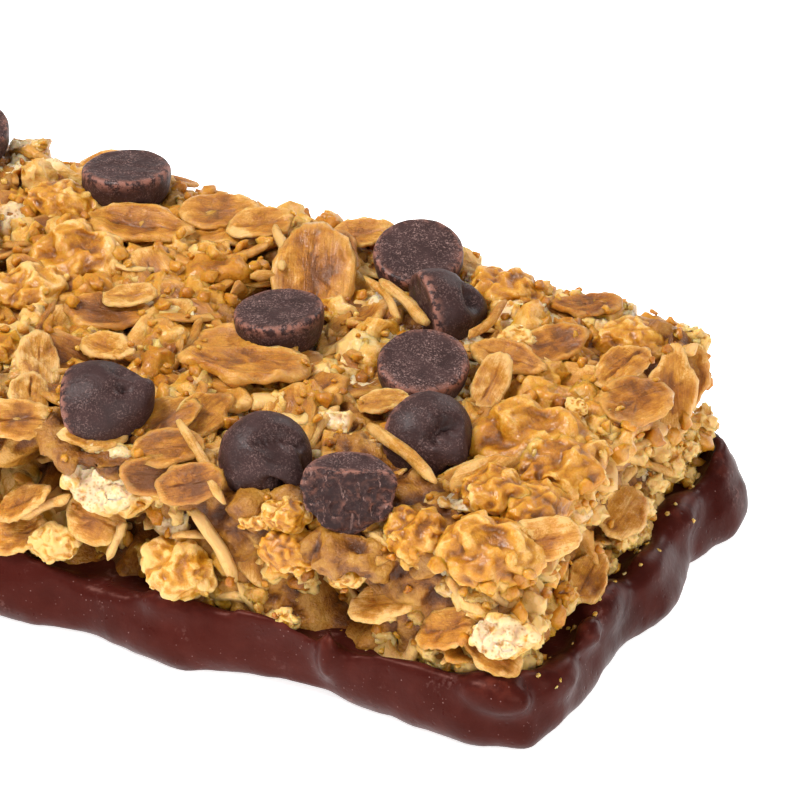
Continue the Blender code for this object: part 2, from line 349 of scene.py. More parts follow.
def dipped_chocolate():
    """Satin dark chocolate with fine dust, tiny pits, and dull scuffed places."""
    coat = Finish("dipped_chocolate")
    patch = coat.noise(9.0 * MM, 3.0)
    mottle = coat.noise(1.6 * MM, 4.0)
    color = coat.ramp(patch, [(0.3, (0.033, 0.0050, 0.0036)), (0.7, (0.054, 0.0092, 0.0066))])
    color = coat.mix(coat.remap(mottle, 0.4, 0.8, 0.0, 0.30), color, (0.090, 0.020, 0.015))
    dust = coat.cells(0.42 * MM)
    dusted = coat.times(coat.remap(dust, 0.15, 0.03), coat.remap(coat.noise(2.6 * MM), 0.44, 0.62))
    color = coat.mix(coat.times(dusted, 0.6), color, (0.36, 0.20, 0.18))
    height = coat.add("ShaderNodeSeparateXYZ", {"Vector": coat.place}).outputs["Z"]
    thin = coat.times(coat.remap(height, 4.4 * MM, 6.4 * MM), coat.remap(mottle, 0.44, 0.62))
    color = coat.mix(coat.times(thin, 0.7), color, (0.160, 0.034, 0.020))
    scuff = coat.times(
        coat.remap(coat.noise(3.4 * MM, 5.0, 0.7), 0.58, 0.74),
        coat.remap(coat.noise(0.35 * MM, 2.0), 0.42, 0.62),
    )
    color = coat.mix(coat.times(scuff, 0.35), color, (0.30, 0.15, 0.13))
    rough = coat.remap(mottle, 0.3, 0.7, 0.26, 0.42, smooth=False)
    pitted = coat.bump(coat.remap(coat.cells(1.1 * MM), 0.0, 0.16), 0.05 * MM, 0.5)
    waved = coat.bump(coat.noise(1.4 * MM, 3.0), 0.10 * MM, 0.7, pitted)
    fine = coat.bump(coat.noise(0.18 * MM, 2.0), 0.012 * MM, 0.6, waved)
    coat.set(
        Base_Color=color, Roughness=rough, Normal=fine, Specular_IOR_Level=0.12,
        Specular_Tint=(1.0, 0.45, 0.35, 1.0),
    )
    return coat.material


def chip_chocolate():
    """Dull purple-brown chocolate, dusty with bloom, and rubbed reddish along its edges."""
    drop = Finish("chip_chocolate")
    edge = drop.attribute("edge")
    base = drop.attribute("base")
    fracture = drop.attribute("fracture")
    mottle = drop.noise(1.5 * MM, 4.0, 0.6)
    color = drop.ramp(mottle, [(0.3, (0.024, 0.0095, 0.0085)), (0.72, (0.050, 0.0220, 0.0200))])
    color = drop.mix(drop.times(fracture, 0.9), color, (0.022, 0.0070, 0.0062))
    area = drop.remap(drop.noise(1.2 * MM, 4.0, 0.7), 0.34, 0.66)
    area = drop.times(area, drop.math("MULTIPLY_ADD", base, 0.6, 0.5), clamp=True)
    flecks = drop.remap(drop.cells(0.20 * MM), 0.24, 0.06)
    powder = drop.remap(drop.noise(0.13 * MM, 3.0, 0.7), 0.50, 0.68)
    dusty = drop.times(area, drop.math("MAXIMUM", flecks, powder))
    dusty = drop.times(dusty, drop.math("MULTIPLY_ADD", fracture, -0.75, 1.0))
    color = drop.mix(drop.times(dusty, 0.75), color, (0.400, 0.240, 0.210))
    marks = drop.stretched((1.0, 5.0, 1.0), turn=(0.0, 0.0, 0.9))
    scuffs = drop.times(drop.remap(drop.noise(0.6 * MM, 3.0, 0.6, marks), 0.62, 0.72), base)
    color = drop.mix(drop.times(scuffs, 0.35), color, (0.330, 0.230, 0.210))
    worn = drop.times(edge, drop.remap(drop.noise(0.5 * MM, 4.0, 0.65), 0.43, 0.58))
    color = drop.mix(drop.times(worn, 0.8), color, (0.360, 0.150, 0.105))
    lines = drop.stretched((3.0, 3.0, 0.4), turn=(0.0, 0.6, 0.3))
    streaks = drop.remap(drop.noise(0.9 * MM, 4.0, 0.7, lines), 0.58, 0.67)
    streaks = drop.times(streaks, fracture)
    color = drop.mix(drop.times(streaks, 0.65), color, (0.360, 0.200, 0.165))
    rough = drop.remap(mottle, 0.3, 0.7, 0.40, 0.60, smooth=False)
    dents = drop.bump(drop.noise(0.8 * MM, 3.0), 0.12 * MM, 0.8)
    grained = drop.bump(drop.noise(0.14 * MM, 2.0), 0.03 * MM, 0.9, dents)
    drop.set(Base_Color=color, Roughness=rough, Normal=grained, Specular_IOR_Level=0.22)
    return drop.material


OAT_TONES = [
    (0.00, (0.73, 0.43, 0.145)),
    (0.28, (0.54, 0.236, 0.024)),
    (0.52, (0.41, 0.150, 0.010)),
    (0.76, (0.27, 0.086, 0.005)),
    (1.00, (0.15, 0.044, 0.004)),
]


def glinting(mix, color, share):
    """Tiny pale specks painted into the colour in patches: painted highlights, standing for glints of light
    on the syrup.
    """
    painted_glints = mix.times(
        mix.remap(mix.cells(0.26 * MM), 0.13, 0.03),
        mix.remap(mix.noise(1.5 * MM, 4.0, 0.7), 0.45, 0.62),
    )
    return mix.mix(mix.times(painted_glints, share), color, (0.92, 0.72, 0.38))


def crazing(mix):
    """Fine wandering creases where syrup has gathered."""
    field = mix.noise(1.15 * MM, 4.0, 0.6, warp=0.8)
    line = mix.math("ABSOLUTE", mix.math("SUBTRACT", field, 0.5), 0.0)
    return mix.math(
        "MULTIPLY", mix.remap(line, 0.028, 0.004), mix.remap(mix.noise(2.3 * MM, 2.0), 0.42, 0.60)
    )


def rolled_oat():
    """Rolled oats: amber brown, wrinkled lengthwise, paler on their rims (partly their own colour, partly
    painted light for the thin edge lit through), and glazed with syrup.
    """
    oat = Finish("rolled_oat")
    tone = oat.attribute("tone")
    dip = oat.attribute("dip")
    flat = oat.add("ShaderNodeUVMap").outputs["UV"]
    across = oat.add("ShaderNodeSeparateXYZ", {"Vector": flat})
    centred = oat.add("ShaderNodeVectorMath", {0: flat, 1: (0.5, 0.5, 0.0)}, operation="SUBTRACT")
    out = oat.add("ShaderNodeVectorMath", {0: centred.outputs[0]}, operation="LENGTH").outputs["Value"]
    each = oat.add("ShaderNodeCombineXYZ", {"X": tone, "Y": tone, "Z": tone}).outputs[0]
    own = oat.add("ShaderNodeVectorMath", {0: each, 1: (40.0, 70.0, 90.0)}, operation="MULTIPLY")
    shifted = oat.add("ShaderNodeVectorMath", {0: flat, 1: own.outputs[0]}, operation="ADD").outputs[0]
    along = oat.stretched((3.0, 17.0, 1.0), shifted)
    wrinkles = oat.noise(1.0, 4.0, 0.65, along, 1.2)
    patch = oat.noise(1.9 * MM, 3.0, 0.55)
    blotch = oat.noise(0.8 * MM, 4.0, 0.65)
    speck = oat.noise(0.15 * MM, 3.0, 0.75)
    wander = oat.vary(out, blotch, 0.25, 0.75, -0.09, 0.09)
    rim = oat.remap(wander, 0.38, 0.48)
    shade = oat.vary(tone, patch, 0.25, 0.75, -0.30, 0.30)
    # Darker in hollows and creases and paler on ridges: partly syrup gathered in the hollows, partly painted
    # shade and painted light for how light falls on the shape.
    shade = oat.vary(shade, dip, 0.2, 0.8, -0.22, 0.38)
    shade = oat.vary(shade, wrinkles, 0.25, 0.75, -0.18, 0.18)
    shade = oat.vary(shade, blotch, 0.25, 0.75, -0.12, 0.12)
    shade = oat.vary(shade, speck, 0.3, 0.7, -0.11, 0.11)
    shade = oat.math("ADD", shade, oat.times(crazing(oat), 0.20))
    # A darker line along the middle crease: partly the oat's own seam, partly painted shade in the crease.
    seam = oat.math("ABSOLUTE", oat.math("SUBTRACT", across.outputs["Y"], 0.5), 0.0)
    seam = oat.times(oat.remap(seam, 0.05, 0.0), oat.remap(out, 0.40, 0.28))
    shade = oat.math("ADD", shade, oat.times(seam, 0.14))
    color = oat.ramp(shade, OAT_TONES)
    # Paler rim: partly the oat's own paler edge, partly painted light standing for light shining through the
    # thin edge.
    color = oat.mix(oat.times(rim, 0.30), color, (0.66, 0.38, 0.105))
    color = glinting(oat, color, 0.5)
    rough = oat.remap(blotch, 0.3, 0.7, 0.32, 0.60, smooth=False)
    ridged = oat.bump(wrinkles, 0.13 * MM, 0.8)
    knobbed = oat.bump(blotch, 0.15 * MM, 0.8, ridged)
    grained = oat.bump(speck, 0.05 * MM, 0.9, knobbed)
    oat.set(
        Base_Color=color, Roughness=rough, Normal=grained, Specular_IOR_Level=0.25,
        Coat_Weight=0.32, Coat_Roughness=0.12, Coat_Normal=knobbed,
        Subsurface_Weight=0.35, Subsurface_Radius=(1.0, 0.45, 0.12), Subsurface_Scale=0.8 * MM,
    )
    return oat.material


def puffed_crisp():
    """Puffed crisps: golden and thickly glazed outside, creamy and full of pores where broken."""
    crisp = Finish("puffed_crisp")
    tone = crisp.attribute("tone")
    dip = crisp.attribute("dip")
    broken = crisp.attribute("broken")
    patch = crisp.noise(2.2 * MM, 3.0, 0.55)
    mottle = crisp.noise(0.8 * MM, 4.0, 0.6)
    speck = crisp.noise(0.15 * MM, 3.0, 0.75)
    shade = crisp.vary(tone, patch, 0.25, 0.75, -0.30, 0.30)
    # Darker in hollows and creases and paler on ridges: partly syrup gathered in the hollows, partly painted
    # shade and painted light for how light falls on the shape.
    shade = crisp.vary(shade, dip, 0.2, 0.8, -0.22, 0.46)
    shade = crisp.vary(shade, mottle, 0.25, 0.75, -0.12, 0.12)
    shade = crisp.vary(shade, speck, 0.3, 0.7, -0.11, 0.11)
    shade = crisp.math("ADD", shade, crisp.times(crazing(crisp), 0.16))
    color = crisp.ramp(
        shade,
        [
            (0.00, (0.75, 0.46, 0.150)),
            (0.30, (0.57, 0.258, 0.020)),
            (0.55, (0.46, 0.176, 0.006)),
            (0.80, (0.32, 0.106, 0.003)),
            (1.00, (0.19, 0.056, 0.002)),
        ],
    )
    # Darker spots in the creamy pith: painted shade standing for small pores that are not modelled.
    pore = crisp.remap(crisp.cells(0.32 * MM), 0.42, 0.10)
    pith = crisp.mix(crisp.times(pore, 0.7), (0.80, 0.60, 0.36), (0.40, 0.21, 0.07))
    cream = crisp.times(broken, crisp.remap(crisp.noise(0.9 * MM, 3.0), 0.32, 0.50))
    color = crisp.mix(cream, color, pith)
    color = glinting(crisp, color, 0.5)
    rough = crisp.remap(mottle, 0.3, 0.7, 0.30, 0.56, smooth=False)
    lumped = crisp.bump(mottle, 0.26 * MM, 0.8)
    grained = crisp.bump(speck, 0.06 * MM, 0.9, lumped)
    crisp.set(
        Base_Color=color, Roughness=rough, Normal=grained, Specular_IOR_Level=0.25,
        Coat_Weight=0.42, Coat_Roughness=0.10, Coat_Normal=lumped,
        Subsurface_Weight=0.45, Subsurface_Radius=(1.0, 0.5, 0.12), Subsurface_Scale=1.1 * MM,
    )
    return crisp.material


def pressed_granola():
    """The syrup-bound crumb between the oats, coloured darker than they are: partly its own colour, partly
    painted shade for the gaps where it shows.
    """
    heart = Finish("pressed_granola")
    dip = heart.attribute("dip")
    patch = heart.noise(3.0 * MM, 4.0, 0.6)
    lumps = heart.noise(0.9 * MM, 5.0, 0.65)
    speck = heart.noise(0.18 * MM, 3.0, 0.7)
    shade = heart.vary(patch, lumps, 0.25, 0.75, -0.22, 0.22)
    # Darker in hollows and creases and paler on ridges: partly syrup gathered in the hollows, partly painted
    # shade and painted light for how light falls on the shape.
    shade = heart.vary(shade, dip, 0.2, 0.8, -0.14, 0.38)
    shade = heart.vary(shade, speck, 0.3, 0.7, -0.08, 0.08)
    # Darker stops than the oats' tones: partly painted shade for the gaps between pieces, where this mass
    # shows.
    color = heart.ramp(
        shade,
        [
            (0.15, (0.50, 0.245, 0.036)),
            (0.42, (0.36, 0.140, 0.012)),
            (0.66, (0.20, 0.062, 0.005)),
            (0.90, (0.08, 0.022, 0.003)),
        ],
    )
    color = glinting(heart, color, 0.5)
    rough = heart.remap(lumps, 0.3, 0.7, 0.30, 0.6, smooth=False)
    lumped = heart.bump(lumps, 0.45 * MM, 0.9)
    grained = heart.bump(speck, 0.06 * MM, 1.0, lumped)
    heart.set(
        Base_Color=color, Roughness=rough, Normal=grained, Specular_IOR_Level=0.25,
        Coat_Weight=0.42, Coat_Roughness=0.12, Coat_Normal=lumped,
    )
    return heart.material


# ---------------------------------------------------------------- moulds: shapes that are copied many times


def dips(mesh):
    """How sunken each vertex is among its neighbours: 0 on a ridge, 0.5 on a flat, 1 in a crease."""
    points = places(mesh)
    normals = np.array([vert.normal for vert in mesh.vertices])
    edges = np.empty((len(mesh.edges), 2), np.int64)
    mesh.edges.foreach_get("vertices", edges.ravel())
    both = np.concatenate((edges, edges[:, ::-1]))
    count = np.maximum(np.bincount(both[:, 0], minlength=len(points)), 1)

    def around(values):
        return np.bincount(both[:, 0], values[both[:, 1]], len(points)) / count

    middle = np.stack([around(points[:, axis]) for axis in range(3)], 1)
    step = np.linalg.norm(points[edges[:, 0]] - points[edges[:, 1]], axis=1).mean()
    sunk = ((middle - points) * normals).sum(1) / step
    for smoothing in range(3):
        sunk = 0.4 * sunk + 0.6 * around(sunk)
    return np.clip(0.5 + 3.0 * sunk, 0, 1)


class Mould:
    """A modelled shape, kept as arrays so that many copies can be laid and joined."""

    def __init__(self, piece):
        mesh = piece.data
        self.dips = dips(mesh)
        self.points = places(mesh)
        self.corners = np.empty(len(mesh.loops), np.int64)
        mesh.loops.foreach_get("vertex_index", self.corners)
        self.sides = np.empty(len(mesh.polygons), np.int64)
        mesh.polygons.foreach_get("loop_total", self.sides)
        self.broken = np.array([sum(group.weight for group in vert.groups) for vert in mesh.vertices], float)
        low, high = self.points.min(0), self.points.max(0)
        self.size = high - low
        self.flat = (self.points[:, :2] - low[:2]) / self.size[:2]
        bpy.data.objects.remove(piece)


def lay_out(name, layings, finish, jagged=False):
    """Joins copies of moulds into one mesh: each laying is a mould, a matrix and a tone."""
    points, corners, sides, flats, tones, broken, sunk = [], [], [], [], [], [], []
    count = 0
    for mould, pose, tone in layings:
        turn = np.array(pose.to_3x3())
        points.append(mould.points @ turn.T + np.array(pose.translation))
        corners.append(mould.corners + count)
        sides.append(mould.sides)
        flats.append(mould.flat[mould.corners])
        tones.append(np.full(len(mould.points), tone))
        broken.append(mould.broken)
        sunk.append(mould.dips)
        count += len(mould.points)
    points, corners, sides = np.concatenate(points), np.concatenate(corners), np.concatenate(sides)
    mesh = bpy.data.meshes.new(name)
    mesh.vertices.add(len(points))
    mesh.vertices.foreach_set("co", points.ravel())
    mesh.loops.add(len(corners))
    mesh.loops.foreach_set("vertex_index", corners)
    mesh.polygons.add(len(sides))
    mesh.polygons.foreach_set("loop_start", np.concatenate(([0], np.cumsum(sides)[:-1])))
    mesh.update(calc_edges=True)
    mesh.uv_layers.new(name="flat").data.foreach_set("uv", np.concatenate(flats).ravel())
    note(mesh, "tone", np.concatenate(tones))
    note(mesh, "broken", np.concatenate(broken))
    note(mesh, "dip", np.concatenate(sunk))
    mesh.validate()
    if not jagged:
        mesh.shade_smooth()
    mesh.materials.append(finish)
    piece = bpy.data.objects.new(name, mesh)
    bpy.context.scene.collection.objects.link(piece)
    return piece


def bench_place(index):
    """Each shape is modelled at its own place, so that no two are roughened alike."""
    return Vector((0.05 * (index % 8), 0.05 * (index // 8), 0.1))


def bring_home(piece, place):
    """Moves a shape from its place on the bench to the origin."""
    pick(piece)
    piece.location = -place
    settle()


def disc(name, spokes):
    """A disc 1 across and 1 thick, with its rim bulged and thinned, ready for shaping."""
    bpy.ops.mesh.primitive_cylinder_add(vertices=spokes, radius=0.5, depth=1.0, end_fill_type="NGON")
    piece = bpy.context.object
    piece.name = name
    mark(piece, lambda at: True)
    choose(piece, "EDGE", lambda edge: abs(edge.verts[0].co.z - edge.verts[1].co.z) > 0.5)
    bpy.ops.mesh.subdivide(number_cuts=1)
    mark(piece, lambda at: math.hypot(at.x, at.y) > 0.49 and abs(at.z) > 0.4)
    bpy.ops.transform.resize(value=(0.94, 0.94, 0.62))
    return piece


def inset_end(piece, upper, steps):
    """Insets the top or the bottom of a disc, raising or lowering the middle at each step."""
    side = 1 if upper else -1
    choose(
        piece, "FACE",
        lambda face: len(face.verts) > 5 and face.calc_center_median().z * side > 0.1,
    )
    for thickness, rise in steps:
        bpy.ops.mesh.inset(thickness=thickness)
        bpy.ops.transform.translate(value=(0, 0, rise))
    bpy.ops.mesh.poke()


def oat_flake(index, spokes, dice, length, width, thickness, detail=False):
    """A rolled oat: an oval flake with a raised lip, a creased and sunken middle, and curled edges."""
    place = bench_place(index)
    piece = disc(f"oat_{index}", spokes)
    sink = dice.uniform(0.05, 0.35)
    lip = dice.uniform(0.06, 0.24)
    if detail:
        top = [(0.03, lip), (0.04, 0.05), (0.05, -lip)]
        top += [(0.06, -sink * 0.4), (0.07, -sink * 0.3), (0.07, 0.0)]
        bottom = [(0.06, -0.15), (0.10, -sink * 0.4), (0.12, 0.0)]
    else:
        top = [(0.07, lip), (0.11, -lip - sink * 0.3), (0.15, -sink * 0.4)]
        bottom = [(0.14, -0.15 - sink * 0.2)]
    inset_end(piece, True, top)
    inset_end(piece, False, bottom)
    crease = dice.uniform(0.1, 0.7)
    crease_end = dice.uniform(0.2, 0.4)
    mark(piece, lambda at: abs(at.y) < 0.02 and abs(at.x) < crease_end and at.z > 0)
    bpy.ops.transform.translate(value=(0, 0, -crease))
    close_up()
    piece.scale = (length, width, thickness)
    piece.location = place
    settle()
    taper = dice.uniform(0.0, 0.12) * width
    side = dice.choice((-1, 1))
    for face in (-1, 1):
        nudge(
            piece,
            lambda at: (at.x - place.x) * side > 0.3 * length and (at.y - place.y) * face > 0.12 * width,
            (0, -face * taper, 0), 0.30 * length,
        )
    for end in (-1, 1):
        rise = dice.uniform(-0.5, 0.5) * MM
        nudge(piece, lambda at: (at.x - place.x) * end > 0.42 * length, (0, 0, rise), 0.42 * length)
    for face in (-1, 1):
        rise = dice.uniform(-0.3, 0.5) * MM
        nudge(piece, lambda at: (at.y - place.y) * face > 0.40 * width, (0, 0, rise), 0.40 * width)
    roughen(piece, WANDER, dice.uniform(0.6, 1.0) * MM, "RGB_TO_XYZ")
    roughen(piece, RAGGED, dice.uniform(0.35, 0.6) * MM, "RGB_TO_XYZ")
    roughen(piece, NIBBLED, dice.uniform(0.25, 0.45) * MM, "RGB_TO_XYZ")
    if detail:
        roughen(piece, GRAIN, 0.14 * MM)
    bring_home(piece, place)
    return piece


def snap(piece, dice, keep):
    """Snaps a flake across, leaving a ragged shard."""
    turn = dice.uniform(0.0, math.tau)
    normal = Vector((math.cos(turn), math.sin(turn), dice.uniform(-0.5, 0.5)))
    cut_off(piece, normal * keep, normal)


def lump(name, index, faces, size):
    """A round lump at its own place on the bench, stretched to a size."""
    place = bench_place(index)
    bpy.ops.mesh.primitive_ico_sphere_add(subdivisions=faces, radius=0.5, location=place)
    piece = bpy.context.object
    piece.name = f"{name}_{index}"
    piece.scale = size
    settle()
    return piece, place


def crisp_lump(index, faces, share_kept, size, broken_level=None):
    """A puffed crisp: a knobbly lump, broken open on one side if it has a level to break at."""
    piece, place = lump("crisp", index, faces, size)
    roughen(piece, SWELL, 0.30 * min(size) + 0.9 * MM)
    if broken_level is not None:
        level = place.z + broken_level
        mark(piece, lambda at: at.z > level)
        bpy.ops.transform.resize(value=(1, 1, 0.05), center_override=(place.x, place.y, level))
        close_up()
        heights = np.array([vert.co.z for vert in piece.data.vertices])
        broken = np.clip((heights - level + 0.15 * MM) / (0.2 * MM), 0, 1)
        group = piece.vertex_groups.new(name="broken")
        for vertex, share in enumerate(broken):
            group.add([vertex], float(share), "REPLACE")
        roughen(piece, PORES, 0.8 * MM, vertex_group="broken")
        roughen(piece, GRAIN, 0.6 * MM, vertex_group="broken")
    roughen(piece, LUMPS, 1.6 * MM)
    roughen(piece, KNOBS, 0.5 * MM)
    roughen(piece, RAGGED, 0.8 * MM, "RGB_TO_XYZ")
    roughen(piece, NIBBLED, 0.2 * MM, "RGB_TO_XYZ")
    if share_kept < 1:
        work(piece, "DECIMATE", ratio=share_kept)
    bring_home(piece, place)
    return piece


def crumble(index, share_kept, size):
    """A jagged cluster of crumbs stuck together."""
    piece, place = lump("crumble", index, 4, size)
    roughen(piece, LUMPS, 1.2 * MM)
    roughen(piece, KNOBS, 1.3 * MM)
    roughen(piece, NIBBLED, 0.9 * MM, "RGB_TO_XYZ")
    roughen(piece, RAGGED, 0.9 * MM, "RGB_TO_XYZ")
    work(piece, "DECIMATE", ratio=share_kept)
    bring_home(piece, place)
    return piece


def bran_strand(index, dice, length, thickness):
    """A strand of bran or a flake's edge: a thin tapered stick with a slight bow."""
    place = bench_place(index)
    bpy.ops.mesh.primitive_cylinder_add(
        vertices=7, radius=thickness / 2, depth=length, location=place, rotation=(0, math.pi / 2, 0)
    )
    piece = bpy.context.object
    piece.name = f"strand_{index}"
    settle()
    open_up(piece)
    choose(piece, "EDGE", lambda edge: abs(edge.verts[0].co.x - edge.verts[1].co.x) > 0.5 * length)
    bpy.ops.mesh.subdivide(number_cuts=7)
    for end in (-1, 1):
        mark(piece, lambda at: (at.x - place.x) * end > 0.47 * length)
        share = dice.uniform(0.25, 0.7)
        bpy.ops.transform.resize(value=(1, share, share))
    close_up()
    nudge(piece, lambda at: abs(at.x - place.x) < 0.1 * length, (0, 0.06 * length, 0), 0.4 * length)
    roughen(piece, WANDER, 0.35 * MM, "RGB_TO_XYZ")
    roughen(piece, RAGGED, 0.25 * MM, "RGB_TO_XYZ")
    bring_home(piece, place)
    return piece


def crumb(index, dice):
    """A crumb of crisp or oat."""
    place = bench_place(index)
    bpy.ops.mesh.primitive_ico_sphere_add(subdivisions=2, radius=0.5 * MM, location=place)
    piece = bpy.context.object
    piece.name = f"crumb_{index}"
    piece.scale = (dice.uniform(0.9, 1.7), dice.uniform(0.7, 1.2), dice.uniform(0.5, 1.0))
    bpy.ops.object.transform_apply(location=False, rotation=False, scale=True)
    settle()
    roughen(piece, KNOBS, 0.7 * MM)
    roughen(piece, RAGGED, 0.7 * MM, "RGB_TO_XYZ")
    roughen(piece, NIBBLED, 0.6 * MM, "RGB_TO_XYZ")
    work(piece, "DECIMATE", ratio=0.6)
    bring_home(piece, place)
    return piece


def make_moulds():
    """Every shape that is copied: each is modelled once here."""
    dice = random.Random(11)
    kinds = (
        "flake", "fine_flake", "shard", "crisp", "fine_crisp", "crumble", "fine_crumble", "strand", "crumb",
    )
    moulds = {kind: [] for kind in kinds}
    made = itertools.count()

    def span(low, high):
        return dice.uniform(low, high) * MM

    for count in range(12):
        length, width, thickness = span(6.6, 8.8), span(4.0, 5.4), span(0.55, 0.85)
        moulds["flake"].append(Mould(oat_flake(next(made), 18, dice, length, width, thickness)))
    for count in range(10):
        length, width, thickness = span(7.4, 8.8), span(4.4, 5.6), span(0.50, 0.68)
        piece = oat_flake(next(made), 48, dice, length, width, thickness, detail=True)
        if count % 3 == 2:
            snap(piece, dice, span(2.6, 3.4))
        moulds["fine_flake"].append(Mould(piece))
    for count in range(10):
        length, width, thickness = span(5.0, 7.5), span(3.4, 4.8), span(0.6, 0.9)
        piece = oat_flake(next(made), 12, dice, length, width, thickness)
        snap(piece, dice, span(-0.2, 0.9))
        moulds["shard"].append(Mould(piece))
    for count in range(10):
        size = (span(3.4, 5.6), span(2.8, 4.2), span(2.2, 3.4))
        level = span(0.2, 0.8) if count % 2 else None
        moulds["crisp"].append(Mould(crisp_lump(next(made), 4, 0.36, size, level)))
    for count in range(8):
        size = (span(4.6, 6.4), span(3.8, 5.0), span(2.8, 3.8))
        level = 0.7 * MM if count % 2 else None
        moulds["fine_crisp"].append(Mould(crisp_lump(next(made), 5, 1.0, size, level)))
    for count in range(8):
        size = (span(2.8, 4.4), span(2.2, 3.4), span(1.6, 2.6))
        moulds["crumble"].append(Mould(crumble(next(made), 0.25, size)))
    for count in range(5):
        size = (span(3.0, 4.2), span(2.4, 3.2), span(1.8, 2.6))
        moulds["fine_crumble"].append(Mould(crumble(next(made), 0.6, size)))
    for count in range(6):
        moulds["strand"].append(Mould(bran_strand(next(made), dice, span(4.0, 7.0), span(0.55, 0.95))))
    for count in range(6):
        moulds["crumb"].append(Mould(crumb(next(made), dice)))
        moulds["crumb"][-1].dips[:] = 0.5
    return moulds


# ---------------------------------------------------------------- the chocolate, the heart and the chips


# Lumps of granola that the chocolate has coated: x, y, z, and half sizes along x, y and z.
COATED_LUMPS = (
    (19.6, -16.9, 4.4, 2.4, 1.0, 1.1),
    (42.2, -16.6, 4.3, 2.2, 1.2, 1.3),
    (31.0, -16.9, 4.0, 0.8, 0.9, 2.0),
    (44.6, -8.6, 4.8, 0.9, 1.3, 1.2),
    (-6.0, -16.8, 4.2, 2.0, 1.0, 1.2),
    (-24.0, -16.8, 4.0, 1.6, 1.0, 1.4),
    (-38.0, 16.8, 4.4, 2.2, 1.1, 1.2),
    (8.0, 16.8, 4.0, 1.8, 1.1, 1.3),
    (33.0, 16.8, 4.6, 2.0, 1.1, 1.2),
    (-44.4, 5.0, 4.4, 1.0, 1.8, 1.2),
    (44.3, -12.6, 3.8, 1.2, 2.6, 1.5),
    (43.7, -4.4, 4.0, 1.4, 3.2, 1.6),
    (44.3, 1.4, 3.5, 1.2, 3.4, 1.6),
    (43.8, 7.2, 4.3, 1.3, 2.8, 1.3),
    (44.2, 12.8, 3.6, 1.1, 2.6, 1.9),
)


# How high the chocolate has run up between the granola and its own wall, and how far it swells
# out at the right end.
CHOCOLATE_FILL = 4.6 * MM
END_SWELL = 0.75 * MM


def chocolate_dip(finish):
    """The dipped chocolate, smoothed over its scallops and swollen over the lumps it has coated."""
    piece = merged_copy("chocolate_base", "chocolate_dip")
    lumps = []
    for x, y, z, across, deep, tall in COATED_LUMPS:
        bpy.ops.mesh.primitive_uv_sphere_add(
            segments=20, ring_count=12, radius=1.0, location=(x * MM, y * MM, z * MM),
            scale=(across * MM, deep * MM, tall * MM),
        )
        lumps.append(bpy.context.object)
    bpy.ops.mesh.primitive_cube_add(
        size=1.0, location=(0, 0, CHOCOLATE_FILL / 2), scale=(88 * MM, 33.4 * MM, CHOCOLATE_FILL - 1.2 * MM)
    )
    lumps.append(bpy.context.object)
    join(piece, lumps)
    work(piece, "REMESH", mode="VOXEL", voxel_size=0.45 * MM)
    work(piece, "SMOOTH", factor=0.5, iterations=5)
    roughen(piece, SWELL, 0.55 * MM)
    roughen(piece, LUMPS, 0.22 * MM)
    work(piece, "SMOOTH", factor=0.4, iterations=2)
    for vert in piece.data.vertices:
        end = held((vert.co.x - 41 * MM) / (3 * MM), 0.0, 1.0)
        vert.co.x += END_SWELL * end * end * (3 - 2 * end)
        vert.co.z = max(vert.co.z, 0.0)
    return stand_for(piece, "chocolate_base", finish)


